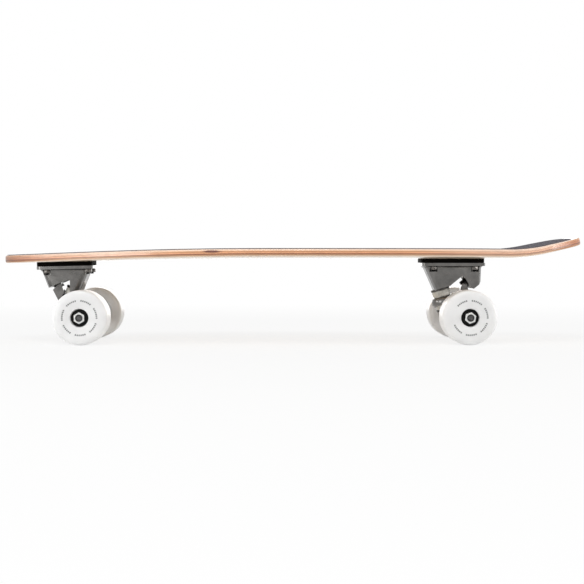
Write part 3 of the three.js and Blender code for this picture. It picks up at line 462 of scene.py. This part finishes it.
heights = {"axle": 35, "rearTruck": 69.3, "frontTruck": 65.9, "riser": 5.5, "gaps": 0.2}
boardShape = {
    "length": 764, "halfWidth": 124, "thickness": 10, "edge": 2.6, "flatHalf": 30, "concave": 3,
    "noseTip": 7, "tailTip": 14, "widestShare": -0.0785, "noseFullness": 0.36, "noseRun": 0.264, "tailRun": 0.72,
    "tailFullness": 1, "noseTilt": 1.26, "noseBlend": 190, "kickLength": 107.5, "kickBlend": 52, "kickTilt": 13.2,
    "bottom": heights["axle"] + heights["rearTruck"] + heights["riser"] + heights["gaps"],
    "frontMount": heights["frontTruck"] + heights["riser"] + heights["gaps"],
    "noseOverhang": 111, "tailOverhang": 156.5, "grip": 0.8, "seat": 0.1, "gripTailInset": 10,
    "noseSteps": 70, "tailSteps": 90, "columns": 22, "roundSteps": 4, "smooth": 40,
}
axles = {"front": boardShape["noseOverhang"] - boardShape["length"] / 2,
         "rear": boardShape["length"] / 2 - boardShape["tailOverhang"]}
truckTilt = {"front": math.radians(boardShape["noseTilt"]), "rear": 0.0}


def slopeBend(distance, blend, grade):
    if distance <= 0:
        return 0.0, 0.0
    if distance < blend:
        return grade * distance ** 2 / (2 * blend), grade * distance / blend
    return grade * (distance - blend / 2), grade


def boardPoint(x, y, height):
    b = boardShape
    noseGrade, kickGrade = math.tan(math.radians(b["noseTilt"])), math.tan(math.radians(b["kickTilt"]))
    drop = b["bottom"] - heights["axle"] - b["frontMount"] / math.cos(math.radians(b["noseTilt"]))
    noseBend = axles["front"] + drop / noseGrade + b["noseBlend"] / 2
    kickStart = b["length"] / 2 - b["kickLength"]
    rise, kickSlope = slopeBend(x - kickStart, b["kickBlend"], kickGrade)
    fall, noseSlope = slopeBend(noseBend - x, b["noseBlend"], noseGrade)
    slope = math.atan(kickSlope + noseSlope)
    side = max(abs(y) - b["flatHalf"], 0) / (b["halfWidth"] - b["flatHalf"])
    low = b["bottom"] + rise - fall + b["concave"] * side ** 2
    return Vector((x - height * math.sin(slope), y, low + height * math.cos(slope))) * mm


def bezier(points, t):  # a place on the curve and the way inwards from it
    a, b, c, d = points
    s = 1 - t
    place = [s ** 3 * a[i] + 3 * s * s * t * b[i] + 3 * s * t * t * c[i] + t ** 3 * d[i] for i in (0, 1)]
    along = [3 * s * s * (b[i] - a[i]) + 6 * s * t * (c[i] - b[i]) + 3 * t * t * (d[i] - c[i]) for i in (0, 1)]
    size = math.hypot(*along)
    return place, (along[1] / size, -along[0] / size)


def boardStations():
    b = boardShape
    half = b["length"] / 2
    widest = b["widestShare"] * b["length"]
    nose = [(-half, b["noseTip"]), (-half, b["noseFullness"] * b["halfWidth"]),
            (-half + b["noseRun"] * (widest + half), b["halfWidth"]), (widest, b["halfWidth"])]
    tail = [(widest, b["halfWidth"]), (widest + b["tailRun"] * (half - widest), b["halfWidth"]),
            (half, b["tailFullness"] * b["halfWidth"]), (half, b["tailTip"])]
    stations = [bezier(nose, i / b["noseSteps"]) for i in range(b["noseSteps"] + 1)]
    return stations + [bezier(tail, i / b["tailSteps"]) for i in range(1, b["tailSteps"] + 1)]


def boardLayer(name, low, high, edge, inset, tailInset=0):
    b = boardShape
    columns = [-1 + 2 * i / b["columns"] for i in range(b["columns"] + 1)]
    verts, depths, edges, faces = [], [], [], []
    fade = 3 * tailInset  # the length over which the inset at the tail sets in

    # v runs from rail to rail, setIn inwards from the rim, up from the layer's underside
    def addVertex(station, v, setIn, up):
        (x, y), inward = station
        nearTail = max(x - b["length"] / 2 + fade, 0) / fade if tailInset else 0
        x += inward[0] * (inset + setIn) - tailInset * nearTail ** 2
        verts.append(boardPoint(x, v * (y + inward[1] * (inset + setIn)), low + up))
        depths.append(up / (high - low))
        edges.append(1.0 if setIn < edge * 0.9 else 0.0)  # the faces begin past the round
        return len(verts) - 1

    # the rim from the underside to the top: a quarter round, a straight wall, a quarter round
    angles = [math.pi / 2 * i / b["roundSteps"] for i in range(b["roundSteps"] + 1)]
    lowerRound = [(edge * (1 - math.sin(a)), edge * (1 - math.cos(a))) for a in angles] if edge else [(0.0, 0.0)]
    rim = lowerRound + [(setIn, high - low - up) for setIn, up in reversed(lowerRound)]
    section = [(v, edge, 0.0) for v in columns[:-1]] + [(1, *point) for point in rim]
    section += [(v, edge, high - low) for v in reversed(columns[1:-1])]
    section += [(-1, *point) for point in reversed(rim[1:])]
    stations = boardStations()
    rings = [[addVertex(station, *point) for point in section] for station in stations]
    for a, c in zip(rings, rings[1:]):
        for i in range(len(section)):
            j = (i + 1) % len(section)
            faces.append((a[i], a[j], c[j], c[i]))
    for tip in (stations[0], stations[-1]):  # both tips carry the same rim across their width
        rows = [[addVertex(tip, v, *point) for v in columns] for point in rim]
        for a, c in zip(rows, rows[1:]):
            for i in range(b["columns"]):
                faces.append((a[i], a[i + 1], c[i + 1], c[i]))
    return meshObject(name, verts, faces, b["smooth"], plyDepth=depths, plyEdge=edges)


def cutWith(obj, cutters, smooth):
    for cutter in cutters:
        mod = obj.modifiers.new("cut", "BOOLEAN")
        mod.operation = "DIFFERENCE"
        mod.solver = "EXACT"
        mod.object = cutter
    applyModifiers(obj)
    for cutter in cutters:
        bpy.data.objects.remove(cutter)
    smoothFaces(obj.data, smooth)


def boltAxes():  # for each truck bolt its top and the way it points
    axes = {}
    for name in sorted(n for n in nodes if n.endswith("_bolt")):
        tilt = truckTilt[name.split("_")[0]]
        aim = Vector((-math.sin(tilt), 0, math.cos(tilt)))
        low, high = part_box(name)
        half = (high.z - low.z) / 2 / math.cos(tilt)
        axes[name] = (centreOf(name) + aim * half, aim)
    return axes


# places along the bolt are measured up or down from its top
holeShape = {"shank": 2.75, "head": 4.85, "headFoot": -3.1, "headRim": -0.05, "foot": -30, "top": 6, "sides": 32}


def boardHoles():  # a countersunk hole for every truck bolt
    h = holeShape
    profile = [(0, h["foot"]), (h["shank"], h["foot"]), (h["shank"], h["headFoot"]), (h["head"], h["headRim"]),
               (h["head"], h["top"]), (0, h["top"])]
    return [turned("hole cutter", profile, h["sides"], top, aim) for top, aim in boltAxes().values()]


def makeBoard():
    b = boardShape
    deck = boardLayer("maple_deck", 0, b["thickness"], b["edge"], 0)
    low = b["thickness"] + b["seat"]
    grip = boardLayer("grit_sheet", low, low + b["grip"], 0, b["edge"], b["gripTailInset"])
    for layer in (deck, grip):
        cutWith(layer, boardHoles(), b["smooth"])
    dress(deck, maple, "maple", "board", "deck")
    dress(grip, gripSheet, "grip", "board", "grip_tape")
    print("board made")


makeBoard()


# wheels and what sits on the axles, with places measured out from the middle of the board

axleStack = {"hangerHalf": 77.5, "washer": 0.8, "gap": 0.2, "bearing": 7, "spacer": 10, "faceReach": 4.3,
             "nut": 6.5}
innerBearing = axleStack["hangerHalf"] + axleStack["washer"] + axleStack["gap"]
outerBearing = innerBearing + axleStack["bearing"] + axleStack["spacer"] + 2 * axleStack["gap"]
nutEnd = outerBearing + axleStack["bearing"] + axleStack["gap"] + axleStack["washer"] + axleStack["nut"]
wheelFace = outerBearing + axleStack["bearing"] + axleStack["faceReach"]
wheelMiddle = innerBearing + axleStack["bearing"] + axleStack["gap"] + axleStack["spacer"] / 2

wheelShape = {
    "radius": heights["axle"], "width": 50, "disc": 27, "lipDepth": 4.5, "mouth": 11.8, "seat": 11.25, "web": 9.4,
    "cupFloorRadius": 14.5, "cupRadius": 22, "cupSlant": 1, "sides": 112, "lipSteps": 9, "soft": 0.8, "hub": 20,
    "mouthRound": [(-0.15, -0.9), (0.1, -0.25), (0.7, 0)],  # beyond the mouth's radius, and beside the face
}
# the four corners of the board: name, end, place along the board, way out
corners = [(f"{end}_{side}", end, x, way) for end, x in axles.items() for side, way in (("left", -1), ("right", 1))]


def wheelProfile():  # [radius, place along the axle], a closed loop
    w = wheelShape
    inner = wheelFace - w["width"]
    webOut, webIn = wheelMiddle + axleStack["spacer"] / 2, wheelMiddle - axleStack["spacer"] / 2
    outerSeat, cupFloor = webOut + axleStack["bearing"], webIn - axleStack["bearing"]
    profile = [(w["web"], webIn), (w["web"], webOut), (w["seat"], webOut), (w["seat"], outerSeat)]
    profile += [(w["mouth"] + wider, wheelFace + out) for wider, out in w["mouthRound"]]
    angles = [math.pi / 2 * i / w["lipSteps"] for i in range(w["lipSteps"] + 1)]
    for end, way in ((wheelFace, -1), (inner, 1)):
        lip = [(w["disc"] + (w["radius"] - w["disc"]) * math.sin(a), end + way * w["lipDepth"] * (1 - math.cos(a)))
               for a in angles]
        profile += lip if way < 0 else lip[::-1]
    soft = w["soft"]
    profile += [(w["cupRadius"] + soft, inner), (w["cupRadius"], inner + soft),
                (w["cupFloorRadius"] + soft, cupFloor - w["cupSlant"]), (w["cupFloorRadius"], cupFloor),
                (w["seat"], cupFloor), (w["seat"], webIn)]
    return profile


def endOnAxle(tree, node, value, mat):  # sets what the node makes on its axle, turned outwards
    placed = addNode(tree, "GeometryNodeTransform", None,
                     {"Geometry": node.outputs[0], "Translation": value["Axle"], "Rotation": value["Turn"]})
    endTree(tree, placed.outputs[0], mat)


def spinTree(mat):  # turns a loose profile of edges into a closed ring about the axle
    labels = {"Hub Radius": "Float", "Facets": "Int", "Axle": "Vector", "Turn": "Vector"}
    tree, start, keys = newTree("poured ring", labels)
    value = start.outputs
    profile = addNode(tree, "GeometryNodeMeshToCurve", None, {"Mesh": value["Geometry"]})
    path = addNode(tree, "GeometryNodeCurvePrimitiveCircle", None,
                   {"Resolution": value["Facets"], "Radius": value["Hub Radius"]})
    swept = addNode(tree, "GeometryNodeCurveToMesh", None,
                    {"Curve": path.outputs[0], "Profile Curve": profile.outputs[0]})
    endOnAxle(tree, swept, value, mat)
    return tree, keys


# the inputs of the marks' tree; groups are counted in slots
printMarks = {"Radius": 22 * mm, "Dash Length": 1.3 * mm, "Dash Height": 2.1 * mm, "Ink Depth": 0.08 * mm,
              "Slots": 56, "Group Size": 8.0, "Filled Share": 0.7, "Kept Share": 0.72}
printSeeds = {"front": 11, "rear": 4}


# even dashes in groups round the face, where the real wheel is printed; they spell nothing
def marksTree(mat):
    labels = {name: "Int" if isinstance(size, int) else "Float" for name, size in printMarks.items()}
    tree, start, keys = newTree("print marks", {**labels, "Seed": "Int", "Axle": "Vector", "Turn": "Vector"})
    value = start.outputs
    ring = addNode(tree, "GeometryNodeCurvePrimitiveCircle", None,
                   {"Resolution": value["Slots"], "Radius": value["Radius"]})
    tangent = addNode(tree, "GeometryNodeInputTangent")
    facing = addNode(tree, "FunctionNodeAlignRotationToVector", {"axis": "X", "pivot_axis": "Z"},
                     {"Vector": tangent.outputs[0]})
    size = addNode(tree, "ShaderNodeCombineXYZ", None,
                   {"X": value["Dash Length"], "Y": value["Dash Height"], "Z": value["Ink Depth"]})
    dash = addNode(tree, "GeometryNodeMeshCube", None, {"Size": size.outputs[0]})
    # the slots fall into groups: some groups stay empty, and each ends in a gap
    index = addNode(tree, "GeometryNodeInputIndex")
    part = addNode(tree, "ShaderNodeMath", {"operation": "DIVIDE"}, {0: index.outputs[0], 1: value["Group Size"]})
    group = addNode(tree, "ShaderNodeMath", {"operation": "FLOOR"}, {0: part.outputs[0]})
    keepGroup = addNode(tree, "FunctionNodeRandomValue", {"data_type": "BOOLEAN"},
                        {"Probability": value["Kept Share"], "ID": group.outputs[0], "Seed": value["Seed"]})
    within = addNode(tree, "ShaderNodeMath", {"operation": "FRACT"}, {0: part.outputs[0]})
    filled = addNode(tree, "ShaderNodeMath", {"operation": "LESS_THAN"},
                     {0: within.outputs[0], 1: value["Filled Share"]})
    both = addNode(tree, "FunctionNodeBooleanMath", {"operation": "AND"},
                   {0: keepGroup.outputs[3], 1: filled.outputs[0]})
    dashes = addNode(tree, "GeometryNodeInstanceOnPoints", None, {
        "Points": ring.outputs[0], "Selection": both.outputs[0], "Instance": dash.outputs[0],
        "Rotation": facing.outputs[0]})
    endOnAxle(tree, dashes, value, mat)
    return tree, keys


def makeWheels():
    spin, spinKeys = spinTree(urethane)
    marks, markKeys = marksTree(ink)
    w = wheelShape
    section = [((r - w["hub"]) * mm, a * mm, 0) for r, a in wheelProfile()]  # seen from the hub circle
    loop = [(i, (i + 1) % len(section)) for i in range(len(section))]
    for corner, end, x, way in corners:
        body = f"{corner}_wheel_set"
        axle = Vector((x, 0, w["radius"])) * mm
        turn = (-way * math.pi / 2, 0, 0)  # local +Z becomes the outward end of the axle
        wheel = looseMesh(f"{corner}_urethane_wheel", section, loop)
        growWith(wheel, spin, spinKeys, {
            "Hub Radius": w["hub"] * mm, "Facets": w["sides"], "Axle": axle, "Turn": turn})
        dress(wheel, urethane, "wheel_urethane", body, f"{corner}_wheel")
        face = axle + Vector((0, way * wheelFace * mm, 0))
        ring = looseMesh(f"{corner}_print_marks", [])
        growWith(ring, marks, markKeys, {**printMarks, "Seed": printSeeds[end], "Axle": face, "Turn": turn})
        dress(ring, ink, "wheel_urethane", body)
    print("wheels made")


makeWheels()

bearingShape = {
    "bore": 4.3, "innerRing": 6.0, "outerRing": 9.7, "radius": 11.0, "chamfer": 0.3, "soft": 0.2, "sides": 64,
    # the sunk shield from its rim inwards: radius, and height over its floor
    "recess": 0.55, "shield": [(9.55, 0), (9.1, 0.12), (7.6, 0.16), (7.4, 0), (6.4, 0), (6.2, 0.15)],
}


def bearingProfile():  # the shield faces the end of the profile
    b, wide = bearingShape, axleStack["bearing"]
    c, soft, low = b["chamfer"], b["soft"], wide - b["recess"]
    points = [(b["bore"], c), (b["bore"] + c, 0), (b["radius"] - c, 0), (b["radius"], c), (b["radius"], wide - c),
              (b["radius"] - c, wide), (b["outerRing"] + soft, wide), (b["outerRing"], wide - soft)]
    points += [(radius, low + up) for radius, up in b["shield"]]
    return points + [(b["innerRing"], wide - soft), (b["innerRing"] - soft, wide), (b["bore"] + c, wide),
                     (b["bore"], wide - c)]


def makeBearings():
    backs = {"inner": (innerBearing + axleStack["bearing"], -1), "outer": (outerBearing, 1)}
    for corner, end, x, way in corners:
        for place, (start, facing) in backs.items():
            centre = Vector((x, way * start, wheelShape["radius"])) * mm
            obj = turned(f"{corner}_{place}_shielded_bearing", bearingProfile(), bearingShape["sides"], centre,
                         (0, way * facing, 0), 28)
            # the whole bearing takes the black finish: the shield is black rubber, and the steel races are painted
            # black as the shade of the wheel's recess
            dress(obj, blackRubberAndRaceShade, "bearing_shield", f"{corner}_wheel_set", f"{corner}_{place}_bearing")
    print("bearings made")


makeBearings()

# the hexagon's edge: radius, steps, and the angle that counts as an edge
nutShape = {"edge": (0.35, 3, 28), "insertIn": 4.15, "insertOut": 4.75, "proud": 0.08, "soft": 0.1, "sunk": -1.5,
            "sides": 48}


def makeAxleNuts():  # lock nuts: bright hexagon, dark nylon ring inside the collar
    n = nutShape
    low, high, soft = n["insertIn"], n["insertOut"], n["soft"]
    profile = [(low, n["sunk"]), (high, n["sunk"]), (high, 0), (high - soft, n["proud"]), (low + soft, n["proud"]),
               (low, 0)]
    for corner, end, x, way in corners:
        nut = copyOf(f"{corner}_axle_nut", f"{corner}_lock_nut", *n["edge"])
        dress(nut, zinc, "zinc", f"{end}_truck", f"{corner}_axle_nut")
        centre = Vector((x, way * nutEnd, wheelShape["radius"])) * mm
        ring = turned(f"{corner}_nylon_insert", profile, n["sides"], centre, (0, way, 0), 30)
        dress(ring, nylon, "pivot_rubber", f"{end}_truck")
    print("axle nuts made")


makeAxleNuts()


# castings and pads: the radius of their edges and its steps

castEdges = {"baseplate": (0.7, 3), "hanger": (0.6, 2), "riser": (0.6, 3)}


def makeTrucks():
    for end in axles:
        plate = copyOf(f"{end}_baseplate", f"{end}_cast_baseplate", *castEdges["baseplate"])
        dress(plate, casting, "cast_metal", "board", f"{end}_baseplate")
        hanger = copyOf(f"{end}_hanger", f"{end}_cast_hanger", *castEdges["hanger"])
        dress(hanger, casting, "cast_metal", f"{end}_truck", f"{end}_hanger")
        riser = copyOf(f"{end}_riser_pad", f"{end}_moulded_riser", *castEdges["riser"])
        dress(riser, riserPad, "riser", "board", f"{end}_riser_pad")
    print("trucks made")


makeTrucks()


# kingpin stacks, measured down from the kingpin's seat

stackShape = {
    "gap": 0.15, "bore": 5, "ring": 8, "radius": 11.4, "shoulder": 0.9, "shoulderSteps": 5, "flankSteps": 8,
    "upperHeight": 10, "upperBulge": 0.7, "lowerHeight": 9, "lowerFoot": 10.8, "lowerBulge": 0.25, "sides": 72,
    "washer": 1.5, "lip": 1.5, "washerWall": 1, "washerRadius": 12.7, "washerBend": 0.7, "washerRim": 0.2,
    "washerSoft": 0.3, "washerBead": 0.35, "nutEdge": (0.4, 3, 28),
}


def kingpinAxis(end):  # the nut and the upper bushing are even about their middles, so their boxes give the axis
    upper = centreOf(f"{end}_upper_bushing")
    down = (centreOf(f"{end}_kingpin_nut") - upper).normalized()
    s = stackShape
    return upper - down * (2 * s["gap"] + s["washer"] + s["upperHeight"] / 2) * mm, down


def bushingProfile(top, height, footRadius, bulge):
    s = stackShape
    soft, headRadius = s["shoulder"], s["radius"]
    rounds = [math.pi / 2 * i / s["shoulderSteps"] for i in range(s["shoulderSteps"] + 1)]
    points = [(s["bore"], top)]
    points += [(headRadius - soft * (1 - math.sin(a)), top + soft * (1 - math.cos(a))) for a in rounds]
    for i in range(1, s["flankSteps"]):
        t = i / s["flankSteps"]
        radius = headRadius + (footRadius - headRadius) * t + bulge * math.sin(math.pi * t)
        points.append((radius, top + soft + (height - 2 * soft) * t))
    points += [(footRadius - soft * (1 - math.sin(a)), top + height - soft * (1 - math.cos(a)))
               for a in reversed(rounds)]
    return points + [(s["bore"], top + height)]


def washerProfile(back, side):  # pressed cup washer with a rolled lip
    s = stackShape
    wide, bend, floor, lip = s["washerRadius"], s["washerBend"], s["washer"], s["washer"] + s["lip"]
    inside, rim, soft = wide - s["washerWall"], s["washerRim"], s["washerSoft"]
    points = [(s["bore"], 0), (wide - bend, 0), (wide - rim, rim), (wide, bend), (wide, lip - s["washerBead"]),
              (wide - soft, lip), (inside + rim, lip), (inside, lip - soft), (inside, floor + soft),
              (inside - soft, floor), (s["bore"], floor)]
    return [(r, back + side * a) for r, a in points]


def makeStacks():
    s = stackShape
    gap = s["gap"]
    upperTop = 2 * gap + s["washer"]
    lowerTop = upperTop + s["upperHeight"] + gap + s["ring"] + gap
    upperFoot, lowerFoot = upperTop + s["upperHeight"], lowerTop + s["lowerHeight"]
    upper = bushingProfile(upperTop, s["upperHeight"], s["radius"], s["upperBulge"])
    lower = bushingProfile(lowerTop, s["lowerHeight"], s["lowerFoot"], s["lowerBulge"])
    # profile, and the places that the board and the hanger hold
    bushings = {"upper": (upper, upperTop, upperFoot), "lower": (lower, lowerFoot, lowerTop)}
    washers = {"upper": washerProfile(gap, 1), "lower": washerProfile(lowerFoot + gap + s["washer"], -1)}
    for end in axles:
        seat, down = kingpinAxis(end)
        for label, (profile, fixed, moving) in bushings.items():
            obj = turned(f"{end}_{label}_urethane_bushing", profile, s["sides"], seat, down)
            obj.data.materials.append(bushingUrethane)
            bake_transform(obj)
            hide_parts(f"{end}_{label}_bushing")
        for label, profile in washers.items():
            washer = turned(f"{end}_{label}_pressed_washer", profile, s["sides"], seat, down)
            dress(washer, darkPlate, "zinc", "board", f"{end}_{label}_cup_washer")
        nut = copyOf(f"{end}_kingpin_nut", f"{end}_kingpin_lock_nut", *s["nutEdge"])
        dress(nut, darkPlate, "zinc", "board", f"{end}_kingpin_nut")
    print("kingpin stacks made")


makeStacks()


# truck bolts and their nuts, one mesh of each

boltShape = {
    "head": 4.6, "headDepth": 2.7, "rimIn": 0.25, "rimDeep": 0.2, "shank": 2.4, "sides": 20,
    "pitch": 0.8, "threadDepth": 0.3, "threaded": 12, "point": 1.2, "pointIn": 0.5,
    "recessReach": 2.5, "recessWidth": 0.95, "recessTop": 0.5, "recessDepth": 1.7, "recessTaper": (0.6, 0.8),
    "nutFlat": 9, "nutHigh": 5, "nutEdge": 0.35, "nutBore": 2.6,
}


def boltMesh(length):  # countersunk screw with a cross recess; its thread is drawn as rings
    b = boltShape
    place = -length + b["threaded"]
    points = [(0, 0), (b["head"] - b["rimIn"], 0), (b["head"], -b["rimDeep"]), (b["shank"], -b["headDepth"]),
              (b["shank"], place)]
    while place > -length + b["point"]:
        points += [(b["shank"] - b["threadDepth"], place - b["pitch"] * 0.5), (b["shank"], place - b["pitch"])]
        place -= b["pitch"]
    points += [(b["shank"] - b["pointIn"], -length), (0, -length)]
    screw = turned("truck screw", points, b["sides"], (0, 0, 0), (0, 0, 1), 30)
    reach, half = b["recessReach"] * mm, b["recessWidth"] * mm / 2
    shorter, narrower = b["recessTaper"]
    verts = []
    mouth, end = (reach, half, b["recessTop"]), (shorter * reach, narrower * half, -b["recessDepth"])
    for out, wide, z in (mouth, end):
        for turn in range(4):
            way = Matrix.Rotation(turn * math.pi / 2, 3, "Z")
            verts += [way @ Vector((x, y, z * mm)) for x, y in ((out, -wide), (out, wide), (wide, wide))]
    around = [(i, (i + 1) % 12, 12 + (i + 1) % 12, 12 + i) for i in range(12)]
    faces = [tuple(range(12)), tuple(range(23, 11, -1))] + around
    cutWith(screw, [meshObject("cross recess", verts, faces)], 30)
    tidyMesh(screw.data, 30)
    return screw


def nutMesh():
    b = boltShape
    corner = b["nutFlat"] / 2 / math.cos(math.pi / 6)
    profile = [(b["nutBore"], 0), (corner, 0), (corner, -b["nutHigh"]), (b["nutBore"], -b["nutHigh"])]
    nut = turned("truck nut", profile, 6, (0, 0, 0), (0, 0, 1), 30, math.pi / 2)
    bevelEdges(nut, b["nutEdge"], 2, 30)
    tidyMesh(nut.data, 30)
    return nut


def fixingsTree(mat):  # one fixing stood on every point, along the way that the point holds
    tree, start, keys = newTree("fixings", {"Fixing": "Object"})
    points, picked = start.outputs["Geometry"], start.outputs["Fixing"]
    fixing = addNode(tree, "GeometryNodeObjectInfo", {"transform_space": "ORIGINAL"}, {"Object": picked})
    way = addNode(tree, "GeometryNodeInputNamedAttribute", {"data_type": "FLOAT_VECTOR", "in:Name": "way"})
    facing = addNode(tree, "FunctionNodeAlignRotationToVector", {"axis": "Z"}, {"Vector": way.outputs[0]})
    stood = addNode(tree, "GeometryNodeInstanceOnPoints", None, {
        "Points": points, "Instance": fixing.outputs["Geometry"], "Rotation": facing.outputs[0]})
    endTree(tree, stood.outputs[0], mat)
    return tree, keys


def makeFixings():
    axes = boltAxes()
    looks = {"screws": (blackSteel, "black_steel"), "nuts": (darkPlate, "zinc")}
    trees = {label: fixingsTree(mat) for label, (mat, _) in looks.items()}
    for end in axles:
        bolts = [name for name in axes if name.startswith(end)]
        low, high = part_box(bolts[0])
        length = (high.z - low.z) / mm / math.cos(truckTilt[end])
        tops, ways = zip(*[axes[name] for name in bolts])
        nuts = [f"{name}_nut" for name in bolts]
        seats = [centreOf(name) + way * boltShape["nutHigh"] / 2 * mm for name, way in zip(nuts, ways)]
        sets = {"screws": (boltMesh(length), tops, bolts), "nuts": (nutMesh(), seats, nuts)}
        for label, (fixing, places, replaced) in sets.items():
            stood = looseMesh(f"{end}_truck_{label}", places, way=ways)
            growWith(stood, *trees[label], {"Fixing": fixing})
            dress(stood, *looks[label], "board", *replaced)
            bpy.data.objects.remove(fixing)
    print("fixings made")


makeFixings()


# the rest of the CAD parts keep their shapes

def finishCadParts():
    looks = {"bearing_spacer": steel, "axle": axleSteel, "kingpin": steel, "pivot_cup": blackRubberAndRaceShade}
    for name, obj in nodes.items():
        if obj.hide_render:
            continue
        kind = max((k for k in looks if name.endswith(k)), key=len)
        obj.data.materials.clear()
        obj.data.materials.append(looks[kind])
    print("CAD parts finished")


finishCadParts()


# floor, light and camera, in metres

studio = {
    "floor": "#F4F4F3", "floorHalf": 6, "worldLight": 0.42, "glowNear": 0.8, "glowFrom": 0.6, "glowTo": 1.5,
    # watts, place, size of each soft lamp
    "lamps": {
        "key": (15, (-0.3, -1.3, 1.9), 1.0), "leftBox": (11, (-1.7, -0.35, 0.3), 0.9),
        "rightBox": (16, (1.7, -0.35, 0.25), 0.9), "backBox": (11, (0.1, 1.9, 0.55), 1.3),
        "lowFill": (5, (-1.0, -1.4, 0.15), 0.6),
    },
    "lampAim": (0, 0, 0.07),
    "camera": (-0.0164, -1.95, 0.1175), "cameraAim": (-0.0003, 0, 0.0652), "sensorWidth": 36, "lens": 89.6,
}


def makeStudio():
    world = bpy.data.worlds.new("studio")
    bpy.context.scene.world = world
    half = studio["floorHalf"]
    spread = [Vector((x * half, y * half, 0)) for x, y in ((-1, -1), (1, -1), (1, 1), (-1, 1))]
    floor = meshObject("floor", spread, [(0, 1, 2, 3)])
    paper = bpy.data.materials.new("pale studio floor")
    floor.data.materials.append(paper)
    full = {"in:Color": (1, 1, 1, 1), "in:Strength": 1.0}
    for owner in (world, paper):
        owner.use_nodes = True
        tree = owner.node_tree
        tree.nodes.clear()
        # white to the camera, to metal and to glass; the plain light or paper to all else
        path = addNode(tree, "ShaderNodeLightPath").outputs
        seen = addNode(tree, "ShaderNodeMath", {"operation": "MAXIMUM"},
                       {0: path["Is Camera Ray"], 1: path["Is Glossy Ray"]})
        share = addNode(tree, "ShaderNodeMath", {"operation": "MAXIMUM"},
                        {0: seen.outputs[0], 1: path["Is Transmission Ray"]})
        if owner is world:
            plain = addNode(tree, "ShaderNodeBackground", {**full, "in:Strength": studio["worldLight"]})
            white = addNode(tree, "ShaderNodeBackground", full)
        else:
            # near the object the paper keeps its shadow, further out it fades to white
            point = addNode(tree, "ShaderNodeTexCoord").outputs["Object"]
            away = addNode(tree, "ShaderNodeVectorMath", {"operation": "LENGTH"}, {0: point}).outputs["Value"]
            glow = {"in:From Min": studio["glowFrom"], "in:From Max": studio["glowTo"],
                    "in:To Min": studio["glowNear"], "in:To Max": 1.0}
            fade = addNode(tree, "ShaderNodeMapRange", glow, {"Value": away}).outputs[0]
            share = addNode(tree, "ShaderNodeMath", {"operation": "MULTIPLY"}, {0: share.outputs[0], 1: fade})
            plain = addNode(tree, "ShaderNodeBsdfDiffuse", {"in:Color": toLinear(studio["floor"])})
            white = addNode(tree, "ShaderNodeEmission", full)
        mix = addNode(tree, "ShaderNodeMixShader", None,
                      {0: share.outputs[0], 1: plain.outputs[0], 2: white.outputs[0]})
        addNode(tree, "ShaderNodeOutputWorld" if owner is world else "ShaderNodeOutputMaterial", None,
                {"Surface": mix.outputs[0]})

    for name, (watts, place, size) in studio["lamps"].items():
        lamp = bpy.data.lights.new(name, "AREA")
        lamp.energy = watts
        lamp.size = size
        obj = placeInScene(name, lamp)
        obj.location = place
        obj.rotation_euler = (Vector(studio["lampAim"]) - Vector(place)).to_track_quat("-Z", "Y").to_euler()
    bpy.context.scene.view_settings.view_transform = "Standard"

    camera = placeInScene("camera", bpy.data.cameras.new("camera"))
    camera.data.sensor_width = studio["sensorWidth"]
    camera.data.lens = studio["lens"]
    camera.location = studio["camera"]
    look = Vector(studio["cameraAim"]) - Vector(studio["camera"])
    camera.rotation_euler = look.to_track_quat("-Z", "Y").to_euler()
    bpy.context.scene.camera = camera
    print("studio made")


makeStudio()

bpy.context.view_layer.update()
